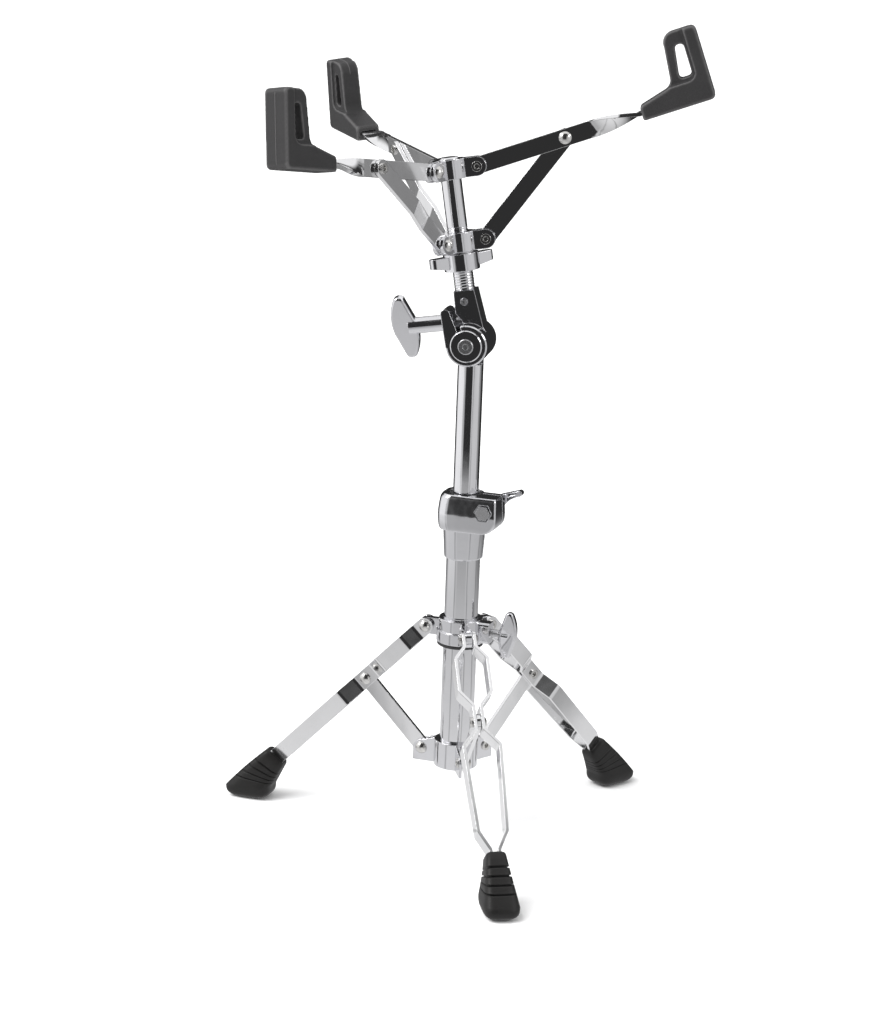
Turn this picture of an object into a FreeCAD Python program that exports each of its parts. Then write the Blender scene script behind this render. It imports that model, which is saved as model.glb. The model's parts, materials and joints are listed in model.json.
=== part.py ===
# Snare drum stand: folding tripod, height clamp, tilter and three-arm basket
import FreeCAD, Part
import math
import os
import re
import Sketcher

# Driving sizes in millimetres and degrees, one cell each
SIZES = {
    # Fits
    "pin_gap": 0.05,
    "seat_gap": 0.05,
    "slide_gap": 0.1,
    "side_gap": 0.3,
    # Rivets
    "pin_dia": 5.0,
    "rivet_head_dia": 9.4,
    "rivet_head_height": 2.6,
    "rivet_tail_dia": 7.6,
    "rivet_tail_height": 1.2,
    "rivet_hollow_dia": 3.6,
    "rivet_hollow_depth": 2.0,
    # Base tube
    "base_tube_dia": 25.4,
    "base_tube_wall": 1.5,
    "base_tube_length": 210.0,
    "base_tube_below": 1.6,
    "tube_slit_width": 2.0,
    "tube_slit_length": 40.0,
    # Legs
    "leg_angle": 45.96,
    "leg_pivot_radius": 26.8,
    "leg_length": 169.6,
    "stay_length": 67.58,
    "stay_width": 12.0,
    "stay_thick": 3.0,
    "strap_width": 12.7,
    "strap_thick": 2.3,
    "strap_bend_radius": 4.0,
    "strap_top_flat": 9.0,
    "strap_top_spread": 9.5,
    "strap_mid_close": 11.0,
    "strap_mid_above": 11.6,
    "strap_mid_below": 8.4,
    "strap_low_spread": 12.5,
    "strap_low_close": 14.0,
    "strap_upper_bow": 10.7,
    "strap_lower_bow": 12.4,
    "strap_lower_bow_end": 9.3,
    "strap_foot_half_gap": 2.0,
    "strap_foot_above": 0.5,
    "strap_in_foot": 16.0,
    # Rubber feet
    "foot_entry_height": 36.87,
    "foot_top_inner_in": 6.0,
    "foot_top_inner_up": -5.3,
    "foot_top_outer_out": 8.5,
    "foot_top_outer_up": 4.9,
    "foot_toe_out": 42.0,
    "foot_toe_height": 8.5,
    "foot_sole_inner_out": 13.0,
    "foot_sole_outer_out": 27.0,
    "foot_sole_curve": 60.0,
    "foot_heel_out": 4.5,
    "foot_heel_height": 11.0,
    "foot_heel_curve": 30.0,
    "foot_top_width": 14.0,
    "foot_sole_width": 26.5,
    "foot_corner_radius": 2.6,
    "foot_rib_depth": 0.9,
    "foot_groove_width": 1.1,
    "foot_groove_first": 0.25,
    "foot_groove_step": 0.153,
    "foot_groove_steep": 44.0,
    "foot_groove_flat": 12.0,
    # Lower collar
    "lower_collar_dia": 33.0,
    "lower_collar_height": 20.0,
    "lower_ear_thick": 2.0,
    "lower_ear_reach": 6.3,
    # Upper collar and its wing bolt
    "upper_collar_dia": 36.0,
    "upper_collar_step_dia": 32.8,
    "upper_collar_height": 19.0,
    "upper_collar_band": 9.5,
    "upper_lug_thick": 5.4,
    "upper_lug_height": 13.0,
    "upper_lug_reach": 6.2,
    "liner_wall": 1.2,
    "liner_lip": 1.0,
    "liner_lip_reach": 1.2,
    "liner_rim": 1.5,
    "boss_angle": -30.0,
    "boss_width": 12.0,
    "boss_height": 16.0,
    "boss_reach": 24.0,
    "boss_corner_radius": 2.5,
    "collar_screw_dia": 6.0,
    "collar_screw_root": 5.2,
    "collar_screw_bare": 7.0,
    "collar_wing_height": 37.0,
    "collar_wing_width": 13.0,
    "collar_wing_thick": 6.5,
    "collar_screw_in_wing": 7.0,
    "wing_corner_radius": 1.5,
    "wing_edge_radius": 2.0,
    # Height clamp
    "clamp_angle": -30.0,
    "clamp_skirt_dia": 31.8,
    "clamp_skirt_end_dia": 28.9,
    "clamp_skirt_height": 23.0,
    "clamp_skirt_round": 1.5,
    "clamp_left": 18.5,
    "clamp_body_height": 27.0,
    "clamp_half_width": 16.6,
    "clamp_reach": 28.8,
    "clamp_ear_back": 9.0,
    "clamp_left_round": 10.0,
    "clamp_right_round": 2.0,
    "clamp_lip": 0.4,
    "clamp_ear_start": 1.5,
    "clamp_top_inset": 1.6,
    "clamp_bulge_height": 10.0,
    "clamp_edge_radius": 1.2,
    "clamp_over_tube": 5.0,
    "clamp_slot": 2.4,
    "clamp_bolt_offset": 19.0,
    "clamp_bolt_height": 16.4,
    "clamp_bolt_dia": 6.0,
    "bolt_head_across": 10.0,
    "bolt_head_height": 4.0,
    "bolt_recess_across": 11.6,
    "bolt_recess_depth": 3.0,
    "lever_hub_dia": 10.0,
    "lever_thick": 6.0,
    "lever_tab_reach": 21.6,
    "lever_tab_top": 13.5,
    "lever_tab_thick": 4.4,
    "lever_tab_rise": 4.6,
    "lever_web_curve": 24.0,
    "lever_web_low": 3.5,
    "lever_pocket_depth": 1.2,
    "lever_pocket_width": 1.8,
    "lever_pocket_length": 7.0,
    # Mast
    "mast_tube_dia": 19.05,
    "mast_tube_wall": 1.5,
    "mast_length": 200.3,
    "mast_insert": 98.0,
    "bush_length": 45.0,
    "bush_flange": 4.0,
    # Tilter
    "tilter_turn": -23.15,
    "tilt_angle": -9.47,
    "tilter_rise": 16.0,
    "tilter_housing_dia": 30.0,
    "tilter_housing_length": 19.5,
    "tilter_housing_round": 2.5,
    "tilter_ring_dia": 30.6,
    "tilter_ring_length": 20.0,
    "tilter_ring_edge": 1.0,
    "tilter_barrel_dia": 22.0,
    "tilter_plug_length": 30.0,
    "tilter_cap_dia": 23.6,
    "tilter_cap_thick": 1.4,
    "tilter_screw_head_dia": 11.4,
    "tilter_screw_head_height": 1.6,
    "tilter_screw_dia": 5.0,
    "tilter_screw_length": 14.0,
    "hex_socket_across": 4.0,
    "hex_socket_depth": 1.2,
    "wedge_top": 39.0,
    "wedge_depth": 17.0,
    "wedge_top_left": 6.9,
    "wedge_top_right": 8.4,
    "wedge_waist_right": 11.8,
    "wedge_waist_height": 11.0,
    "wedge_root_angle": 20.0,
    "wedge_left": 7.5,
    "wedge_left_low": 23.0,
    "wedge_notch": 3.1,
    "wedge_notch_height": 17.0,
    "spigot_dia": 9.0,
    "spigot_length": 18.0,
    "ear_shoulder": 15.6,
    "ear_shoulder_height": 8.0,
    "ear_top_left": 16.0,
    "ear_top_right": 9.4,
    "ear_top_height": 25.6,
    "ear_top_round": 3.4,
    "ear_mid": 6.8,
    "ear_mid_height": 16.0,
    "ear_low": 5.1,
    "ear_low_height": 10.8,
    "tilter_slot": 3.2,
    "tilter_stud_height": 16.5,
    "tilter_stud_back": 5.0,
    "tilter_stud_dia": 6.0,
    "tilter_stud_end": 2.0,
    "tilter_stem_start": 17.4,
    "tilter_stem_dia": 12.0,
    "tilter_stem_length": 20.5,
    "tilter_stem_hole": 12.0,
    "tilter_wing_height": 50.0,
    "tilter_wing_width": 17.6,
    "tilter_wing_thick": 8.0,
    "tilter_wing_turn": -15.0,
    "set_screw_dia": 5.0,
    "set_screw_length": 5.0,
    "set_screw_below_top": 8.0,
    # Basket
    "shaft_dia": 15.0,
    "shaft_thread_root": 14.2,
    "shaft_thread_length": 46.0,
    "shaft_above_hub": 1.5,
    "hub_pivot_height": 126.75,
    "hub_pivot_radius": 19.9,
    "hub_height": 14.0,
    "hub_core_dia": 24.0,
    "hub_ear_thick": 3.0,
    "hub_slot_start": 12.6,
    "washer_thick": 1.2,
    "washer_dia": 22.0,
    "nut_height": 12.5,
    "nut_dia": 26.0,
    "nut_lever_reach": 25.0,
    "nut_lever_root": 11.0,
    "nut_lever_tip": 8.5,
    "nut_lever_drop": 1.5,
    "nut_lever_tip_height": 7.0,
    "nut_lever_root_height": 9.0,
    "nut_turn": 218.0,
    # Arms and struts
    "arm_turn": 7.29,
    "arm_angle": 10.86,
    "arm_to_strut": 66.43,
    "arm_width": 12.3,
    "arm_thick": 3.0,
    "arm_twist_start": 84.0,
    "arm_twist_end": 122.0,
    "arm_in_claw": 26.0,
    "strut_length": 92.2,
    "strut_width": 12.6,
    "strut_thick": 3.0,
    "strut_bend_low": 28.0,
    "strut_bend_high": 47.0,
    "strut_bend_radius": 3.0,
    # Rubber claws
    "claw_start": 123.7,
    "claw_back": 177.5,
    "claw_drop": 5.3,
    "claw_height": 54.0,
    "claw_width": 19.0,
    "claw_end_height": 11.4,
    "claw_shoulder_height": 16.0,
    "claw_upright": 27.5,
    "claw_throat_run": 6.0,
    "claw_throat_rise": 6.5,
    "claw_throat_round": 7.5,
    "claw_end_round": 3.0,
    "claw_upright_top": 25.0,
    "claw_nose_round": 8.0,
    "claw_corner_round": 3.6,
    "claw_edge_radius": 1.6,
    "claw_recess_depth": 2.2,
    "claw_frame_back": 9.5,
    "claw_frame_foot": 15.5,
    "claw_frame_round": 6.0,
    "claw_window_back": 11.5,
    "claw_window_low": 20.5,
    "claw_window_high": 44.0,
    "claw_window_low_width": 9.2,
    "claw_window_high_width": 6.6,
    "claw_window_round": 2.6,
}

LEGS = {"front": -90, "right": 30, "left": 150}
ARMS = {"right": 0, "back": 120, "left": 240}
GROOVES = 4
TWIST_SECTIONS = 5
THIRDS = 3
BOWL_SECTIONS = (0, 0.12, 0.35, 0.65, 1)
CROWN_SECTIONS = (0.4, 0.75, 0.92, 1)
EDGE_POWER = 14
QUARTER_TURN = 90.0
GROOVE_FADE = 0.4

doc = FreeCAD.newDocument("drum_stand")
sheet = doc.addObject("Spreadsheet::Sheet", "dims")
for row, (alias, size) in enumerate(SIZES.items(), 1):
    sheet.set("A%d" % row, alias.replace("_", " "))
    sheet.set("B%d" % row, str(size))
    sheet.setAlias("B%d" % row, alias)
doc.recompute()

made = {}


def named(text):
    """Write a size's name as its cell in the sheet."""
    def cell(word):
        return "dims." + word.group() if word.group() in SIZES else word.group()

    return re.sub(r"[a-z_]+", cell, text)


def number(text):
    """Work out an expression of sizes."""
    result = sheet.evalExpression(named(text))
    return float(getattr(result, "Value", result))


def bind(thing, prop, text):
    """Tie a property to an expression of sizes."""
    thing.setExpression(prop, named(text))


def shift(x, y, z):
    """A placement that moves by three expressions."""
    return FreeCAD.Placement(FreeCAD.Vector(number(x), number(y), number(z)), FreeCAD.Rotation())


def spin(axis, angle):
    """A placement that turns about an axis through the origin."""
    axes = {"x": FreeCAD.Vector(1, 0, 0), "y": FreeCAD.Vector(0, 1, 0), "z": FreeCAD.Vector(0, 0, 1)}
    return FreeCAD.Placement(FreeCAD.Vector(), FreeCAD.Rotation(axes[axis], angle))


def keep(thing, label, placement):
    """Name a finished sub-part and set it in its place."""
    thing.Label = label
    thing.Placement = placement
    made[label] = thing


# Sketch geometry, each corner held by its own pair of bound sizes
def pin_point(sketch, index, end, across, up):
    for kind, text, axis in (("DistanceX", across, -2), ("DistanceY", up, -1)):
        if text == "0":
            sketch.addConstraint(Sketcher.Constraint("PointOnObject", index, end, axis))
        else:
            held = sketch.addConstraint(Sketcher.Constraint(kind, -1, 1, index, end, number(text)))
            bind(sketch, "Constraints[%d]" % held, text)


def arc_between(start, end, radius, way):
    chord = end - start
    left = FreeCAD.Vector(-chord.y, chord.x, 0) / chord.Length
    rise = math.sqrt(radius ** 2 - (chord.Length / 2) ** 2)
    centre = (start + end) / 2 + left * (rise if way == "ccw" else -rise)
    first, last = (start, end) if way == "ccw" else (end, start)
    angles = [math.atan2(point.y - centre.y, point.x - centre.x) for point in (first, last)]
    return Part.ArcOfCircle(Part.Circle(centre, FreeCAD.Vector(0, 0, 1), radius), angles[0], angles[1])


def add_outline(sketch, corners):
    """Draw a closed outline: a corner (x, y) ends a line, (x, y, radius, way) ends an arc."""
    points = [FreeCAD.Vector(number(corner[0]), number(corner[1]), 0) for corner in corners]
    edges = []
    for place, corner in enumerate(corners):
        start = points[place - 1]
        end = points[place]
        if len(corner) == 2:
            edges.append((sketch.addGeometry(Part.LineSegment(start, end), False), 1, 2))
            continue
        index = sketch.addGeometry(arc_between(start, end, number(corner[2]), corner[3]), False)
        edges.append((index, 1, 2) if corner[3] == "ccw" else (index, 2, 1))
    for place, corner in enumerate(corners):
        index, first, last = edges[place]
        after, after_first, after_last = edges[(place + 1) % len(edges)]
        sketch.addConstraint(Sketcher.Constraint("Coincident", index, last, after, after_first))
        pin_point(sketch, index, last, corner[0], corner[1])
        if len(corner) == 4:
            held = sketch.addConstraint(Sketcher.Constraint("Radius", index, number(corner[2])))
            bind(sketch, "Constraints[%d]" % held, corner[2])


def add_circle(sketch, across, up, diameter):
    centre = FreeCAD.Vector(number(across), number(up), 0)
    circle = Part.Circle(centre, FreeCAD.Vector(0, 0, 1), number(diameter) / 2)
    index = sketch.addGeometry(circle, False)
    pin_point(sketch, index, 3, across, up)
    held = sketch.addConstraint(Sketcher.Constraint("Diameter", index, number(diameter)))
    bind(sketch, "Constraints[%d]" % held, diameter)


def strip_offset(face, thick):
    """The far face of a strip of one thickness, mitred at its bends."""
    normals = []
    for start, end in zip(face, face[1:]):
        run = (end - start).normalize()
        normals.append(FreeCAD.Vector(-run.y, run.x, 0))
    far = []
    for place, point in enumerate(face):
        both = normals[max(place - 1, 0)] + normals[min(place, len(normals) - 1)]
        far.append(point + both * (2 * thick / both.dot(both)))
    return far


def add_strip(sketch, path, thick, side):
    """Draw a bent strip: one face follows the path, the other lies one thickness away."""
    face = [FreeCAD.Vector(number(across), number(up), 0) for across, up in path]
    far = strip_offset(face, number(thick) * side)
    ring = face + far[::-1]
    lines = []
    for place, point in enumerate(ring):
        lines.append(sketch.addGeometry(Part.LineSegment(point, ring[(place + 1) % len(ring)]), False))
    for place, line in enumerate(lines):
        sketch.addConstraint(Sketcher.Constraint("Coincident", line, 2, lines[(place + 1) % len(lines)], 1))
    for line, (across, up) in zip(lines, path):
        pin_point(sketch, line, 1, across, up)
    runs = len(path) - 1
    for place in range(runs):
        back = lines[len(lines) - 2 - place]
        sketch.addConstraint(Sketcher.Constraint("Parallel", lines[place], back))
        held = sketch.addConstraint(Sketcher.Constraint("Distance", back, 1, lines[place], number(thick)))
        bind(sketch, "Constraints[%d]" % held, thick)
    sketch.addConstraint(Sketcher.Constraint("Perpendicular", lines[0], lines[-1]))
    sketch.addConstraint(Sketcher.Constraint("Perpendicular", lines[runs - 1], lines[runs]))


def rectangle(left, low, right, high):
    return [(left, low), (right, low), (right, high), (left, high)]


def hexagon(across_flats, x="0", z="0"):
    """Corners of a hexagon with two corners on the X axis."""
    half = "(%s) / 2" % across_flats
    tip = "%s / cos(30)" % half
    side = "%s * tan(30)" % half
    corners = []
    for across, up in ((tip, "0"), (side, half), ("-" + side, half), ("-" + tip, "0"),
                       ("-" + side, "-" + half), (side, "-" + half)):
        corners.append((across if x == "0" else "%s + (%s)" % (x, across),
                        up if z == "0" else "%s + (%s)" % (z, up)))
    return corners


class Piece:
    """One body, built up feature by feature from bound sketches."""

    def __init__(self, label, loose=False):
        self.body = doc.addObject("PartDesign::Body", label)
        self.body.AllowCompound = loose

    def origin(self, role):
        return [item for item in self.body.Origin.OriginFeatures if item.Role == role][0]

    def profile(self, plane, outlines=(), circles=(), lift=None, move=None, turn=None):
        """A sketch on an origin plane, lifted along its normal or moved in its plane."""
        sketch = self.body.newObject("Sketcher::SketchObject", "sketch")
        sketch.AttachmentSupport = [(self.origin(plane + "_Plane"), "")]
        sketch.MapMode = "FlatFace"
        if turn is not None:
            sketch.AttachmentOffset = spin("z", turn)
        if lift is not None:
            bind(sketch, "AttachmentOffset.Base.z", lift)
        if move is not None:
            bind(sketch, "AttachmentOffset.Base.x", move)
        for corners in outlines:
            add_outline(sketch, corners)
        for across, up, diameter in circles:
            add_circle(sketch, across, up, diameter)
        sketch.recompute()
        return sketch

    def finish(self, feature):
        self.body.Tip = feature
        feature.recompute()
        self.body.recompute()
        if "Invalid" in feature.State or feature.Shape.isNull():
            raise ValueError("%s: %s" % (self.body.Name, feature.getStatusString()))
        return feature

    def pad(self, sketch, length, way="up"):
        feature = self.body.newObject("PartDesign::Pad", "pad")
        feature.Profile = sketch
        bind(feature, "Length", length)
        feature.SideType = "Symmetric" if way == "both" else "One side"
        feature.Reversed = way == "down"
        return self.finish(feature)

    def cut(self, sketch, length=None, way="both"):
        """Pocket right through both ways, or to a depth one way."""
        feature = self.body.newObject("PartDesign::Pocket", "pocket")
        feature.Profile = sketch
        feature.SideType = "Symmetric" if way == "both" else "One side"
        feature.Reversed = way == "up"
        if length is None:
            feature.Type = "ThroughAll"
        else:
            bind(feature, "Length", length)
        before = self.body.Shape.Volume
        self.finish(feature)
        if self.body.Shape.Volume >= before:
            raise ValueError("a cut in %s removes nothing" % self.body.Name)
        return feature

    def revolve(self, sketch, axis="V_Axis"):
        feature = self.body.newObject("PartDesign::Revolution", "revolution")
        feature.Profile = sketch
        feature.ReferenceAxis = (sketch, [axis])
        feature.Angle = 360
        return self.finish(feature)

    def polar(self, feature, count=THIRDS):
        pattern = self.body.newObject("PartDesign::PolarPattern", "pattern")
        pattern.Originals = [feature]
        pattern.Axis = (self.origin("Z_Axis"), [""])
        pattern.Angle = 360
        pattern.Occurrences = count
        return self.finish(pattern)

    def loft(self, sketches):
        feature = self.body.newObject("PartDesign::AdditiveLoft", "loft")
        feature.Profile = sketches[0]
        feature.Sections = sketches[1:]
        return self.finish(feature)

    def round(self, test, radius):
        """Round the edges of the last feature that pass a test."""
        base = self.body.Tip
        names = ["Edge%d" % place for place, edge in enumerate(base.Shape.Edges, 1) if test(edge)]
        if not names:
            raise ValueError("no edge to round on " + self.body.Name)
        feature = self.body.newObject("PartDesign::Fillet", "fillet")
        feature.Base = (base, names)
        bind(feature, "Radius", radius)
        return self.finish(feature)


def along(edge, axis):
    """True for a straight edge that runs along x, y or z."""
    if not isinstance(edge.Curve, Part.Line):
        return False
    return abs(getattr(edge.Curve.Direction, axis)) > 0.999


def at_height(edge, level, axis="z", near=0.01):
    """True for an edge that lies at one level of an axis."""
    return all(abs(getattr(vertex.Point, axis) - level) < near for vertex in edge.Vertexes)


# Places that several pieces share
LEG_TOP = "leg_length * sin(leg_angle) + foot_entry_height"
STAY_FOOT = "(%s) - 2 * stay_length * sin(leg_angle)" % LEG_TOP
FOOT_ENTRY = "leg_pivot_radius + leg_length * cos(leg_angle)"
TUBE_LOW = "(%s) - lower_collar_height / 2 - base_tube_below" % STAY_FOOT
TUBE_TOP = "(%s) + base_tube_length" % TUBE_LOW
CLAMP_HEIGHT = "(clamp_skirt_height + clamp_body_height)"
CLAMP_LOW = "(%s) + clamp_over_tube - %s" % (TUBE_TOP, CLAMP_HEIGHT)
MAST_LOW = "(%s) - mast_insert" % TUBE_TOP
TILTER = "(%s) + mast_length + tilter_rise" % MAST_LOW
ARM_OUT = "arm_to_strut * cos(arm_angle)"
STRUT_UP = "sqrt(strut_length ^ 2 - (%s) ^ 2)" % ARM_OUT
HUB_DROP = "%s - arm_to_strut * sin(arm_angle)" % STRUT_UP

mast_frame = spin("z", number("tilter_turn")) * shift("0", "0", TILTER)
head_frame = mast_frame * spin("y", number("tilt_angle"))
hub_frame = head_frame * shift("0", "0", "hub_pivot_height")
low_hub_frame = hub_frame * shift("0", "0", "-(%s)" % HUB_DROP)
clamp_frame = spin("z", number("clamp_angle")) * shift("0", "0", CLAMP_LOW)
collar_frame = shift("0", "0", LEG_TOP)
low_collar_frame = shift("0", "0", STAY_FOOT)


# Flat bars
def flat_bar(label, path, thick, width, side, holes, bend=None, round_ends=("start", "end")):
    """A flat bar bent along a path in its XY plane, as wide as given along Z."""
    piece = Piece(label)
    sketch = piece.profile("XY")
    add_strip(sketch, path, thick, side)
    sketch.recompute()
    piece.pad(sketch, width, "both")
    low = number(path[0][0])
    high = number(path[-1][0])
    half = number(width) / 2
    if bend:
        piece.round(lambda edge: along(edge, "z") and low + half < edge.CenterOfMass.x < high - half, bend)
    ends = [level for name, level in (("start", low), ("end", high)) if name in round_ends]
    piece.round(lambda edge: along(edge, "y") and any(at_height(edge, level, "x") for level in ends),
                "0.49 * (%s)" % width)
    piece.cut(piece.profile("XZ", circles=[(place, "0", "pin_dia + 2 * pin_gap") for place in holes]))
    return piece


def rivet_outline(grip_head, grip_tail):
    """Half a rivet: a domed head above, a hollow clenched end below."""
    head = "rivet_head_dia / 2"
    dome = "((%s) ^ 2 + rivet_head_height ^ 2) / (2 * rivet_head_height)" % head
    tail = "-(%s) - rivet_tail_height" % grip_tail
    return [
        ("0", "%s + rivet_head_height" % grip_head),
        (head, grip_head, dome, "cw"),
        ("pin_dia / 2", grip_head),
        ("pin_dia / 2", "-(%s)" % grip_tail),
        ("rivet_tail_dia / 2", "-(%s)" % grip_tail),
        ("rivet_tail_dia / 2", tail),
        ("rivet_hollow_dia / 2", tail),
        ("rivet_hollow_dia / 2", "%s + rivet_hollow_depth" % tail),
        ("0", "%s + rivet_hollow_depth" % tail),
    ]


def rivet(label, grip_head, grip_tail):
    """One rivet along Y, its head on the +Y side."""
    piece = Piece(label)
    piece.revolve(piece.profile("XY", [rivet_outline(grip_head, grip_tail)]))
    return piece


def rivet_ring(label, radius, grip, head_side=1):
    """Three rivets across a ring of ears, one node of separate solids."""
    piece = Piece(label, loose=True)
    sketch = piece.profile("XY", [rivet_outline(grip, grip)], move=radius, turn=0 if head_side > 0 else 180)
    piece.polar(piece.revolve(sketch))
    return piece


# Tubes and rings
def tube(label, outer, wall, length):
    piece = Piece(label)
    circles = [("0", "0", outer), ("0", "0", "%s - 2 * %s" % (outer, wall))]
    piece.pad(piece.profile("XY", circles=circles), length)
    return piece


def base_tube():
    piece = tube("base_tube", "base_tube_dia", "base_tube_wall", "base_tube_length")
    slit = rectangle("-tube_slit_width / 2", "base_tube_length - tube_slit_length",
                     "tube_slit_width / 2", "base_tube_length + tube_slit_width")
    piece.cut(piece.profile("YZ", [slit]), "base_tube_dia", "up")
    keep(piece.body, "base_tube", spin("z", number("clamp_angle")) * shift("0", "0", TUBE_LOW))


def lower_collar():
    piece = Piece("lower_collar")
    half = "lower_collar_height / 2"
    outer = "stay_thick / 2 + side_gap + lower_ear_thick"
    reach = "leg_pivot_radius + lower_ear_reach"
    root = "base_tube_dia / 2 + lower_ear_thick"
    ear = [
        (root, "-" + half),
        (reach, "-" + half),
        (reach, "0"),
        ("leg_pivot_radius", "lower_ear_reach", "lower_ear_reach", "ccw"),
        (root, half),
    ]
    piece.pad(piece.profile("XY", circles=[("0", "0", "lower_collar_dia")]), "lower_collar_height", "both")
    piece.polar(piece.pad(piece.profile("XZ", [ear]), "2 * (%s)" % outer, "both"))
    slot = rectangle("lower_collar_dia / 2", "-(stay_thick / 2 + side_gap)",
                     reach + " + side_gap", "stay_thick / 2 + side_gap")
    piece.polar(piece.cut(piece.profile("XY", [slot])))
    hole = [("leg_pivot_radius", "0", "pin_dia + 2 * seat_gap")]
    piece.polar(piece.cut(piece.profile("XZ", circles=hole)))
    piece.cut(piece.profile("XY", circles=[("0", "0", "base_tube_dia + 2 * seat_gap")]))
    place = low_collar_frame * spin("z", LEGS["right"])
    keep(piece.body, "lower_collar", place)
    keep(rivet_ring("lower_collar_rivets", "leg_pivot_radius", outer).body, "lower_collar_rivets", place)


def upper_collar():
    """The sliding collar, its lugs drawn on -X so that the boss lies on +X."""
    piece = Piece("upper_collar")
    half = "upper_collar_height / 2"
    bore = "base_tube_dia / 2 + slide_gap + liner_wall + seat_gap"
    band = "upper_collar_band - " + half
    ring = [
        (bore, "-" + half),
        ("upper_collar_dia / 2 - liner_lip", "-" + half),
        ("upper_collar_dia / 2", "liner_lip - " + half),
        ("upper_collar_dia / 2", band),
        ("upper_collar_step_dia / 2", band),
        ("upper_collar_step_dia / 2", half),
        (bore, half),
    ]
    piece.revolve(piece.profile("XZ", [ring]))
    root = "upper_collar_step_dia / 2 - liner_lip"
    lug = [
        ("-(%s)" % root, "upper_lug_height / 2"),
        ("-leg_pivot_radius", "upper_lug_reach"),
        ("-leg_pivot_radius - upper_lug_reach", "0", "upper_lug_reach", "ccw"),
        ("-leg_pivot_radius", "-upper_lug_reach", "upper_lug_reach", "ccw"),
        ("-(%s)" % root, "-upper_lug_height / 2"),
    ]
    piece.polar(piece.pad(piece.profile("XZ", [lug]), "upper_lug_thick", "both"))
    hole = [("-leg_pivot_radius", "0", "pin_dia + 2 * seat_gap")]
    lug_hole = piece.profile("XZ", circles=hole)
    piece.polar(piece.cut(lug_hole))
    boss = rectangle(root, "-boss_height / 2", "boss_reach", "boss_height / 2")
    piece.pad(piece.profile("XZ", [boss]), "boss_width", "both")
    reach = number("boss_reach")
    piece.round(lambda edge: along(edge, "x") and edge.BoundBox.XMax > reach - 0.01, "boss_corner_radius")
    screw_hole = [("0", "0", "collar_screw_dia + 2 * pin_gap")]
    piece.cut(piece.profile("YZ", circles=screw_hole), "boss_reach + liner_lip", "up")
    place = collar_frame * spin("z", number("boss_angle"))
    keep(piece.body, "upper_collar", place)

    inner = "base_tube_dia / 2 + slide_gap"
    outer = inner + " + liner_wall"
    sleeve = [
        (inner, "-%s - liner_lip" % half),
        (outer + " + liner_lip_reach", "-%s - liner_lip" % half),
        (outer + " + liner_lip_reach", "-" + half),
        (outer, "-" + half),
        (outer, half + " + liner_rim"),
        (inner, half + " + liner_rim"),
    ]
    liner = Piece("collar_liner")
    liner.revolve(liner.profile("XZ", [sleeve]))
    liner.cut(liner.profile("YZ", circles=screw_hole), "boss_reach", "up")
    keep(liner.body, "collar_liner", place)

    grip = "upper_lug_thick / 2 + side_gap + strap_thick + slide_gap"
    rivets = rivet_ring("upper_collar_rivets", "leg_pivot_radius", grip)
    keep(rivets.body, "upper_collar_rivets", collar_frame * spin("z", LEGS["right"]))

    wing_start = "boss_reach + collar_screw_bare"
    wing = wing_form("collar_wing", wing_start, "collar_wing_width", "collar_wing_height", "collar_wing_thick")
    wing.cut(wing.profile("YZ", circles=[("0", "0", "collar_screw_dia + 2 * seat_gap")]),
             wing_start + " + collar_screw_in_wing", "up")
    keep(wing.body, "collar_wing", place)
    screw = Piece("collar_screw")
    screw_start = "base_tube_dia / 2 + side_gap"
    screw_end = wing_start + " + collar_screw_in_wing"
    for start, end, across in ((screw_start, "boss_reach", "collar_screw_dia"),
                               ("boss_reach", wing_start, "collar_screw_root"),
                               (wing_start, screw_end, "collar_screw_dia")):
        length = "%s - (%s)" % (end, start)
        screw.pad(screw.profile("YZ", circles=[("0", "0", across)], lift=start), length)
    keep(screw.body, "collar_screw", place)


def wing_form(label, start, width, height, thick):
    """A wing handle in its XZ plane: two lobes, one set outward and one toward the stem."""
    half = "%s / 2" % height

    def at(across, up, *arc):
        return ("%s + %g * %s" % (start, across, width), "%g * %s" % (up, half)) + arc

    tip = "0.28 * " + width
    flank = "1.6 * " + half
    outline = [
        at(0.02, 0.2, flank, "cw"),
        at(0.36, 0.9),
        at(0.78, 0.9, tip, "cw"),
        at(0.98, -0.2, flank, "cw"),
        at(0.64, -0.9),
        at(0.22, -0.9, tip, "cw"),
    ]
    piece = Piece(label)
    piece.pad(piece.profile("XZ", [outline]), thick, "both")
    face = number(thick) / 2
    piece.round(lambda edge: along(edge, "y"), "wing_corner_radius")
    piece.round(lambda edge: at_height(edge, face, "y") or at_height(edge, -face, "y"), "wing_edge_radius")
    return piece


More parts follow.
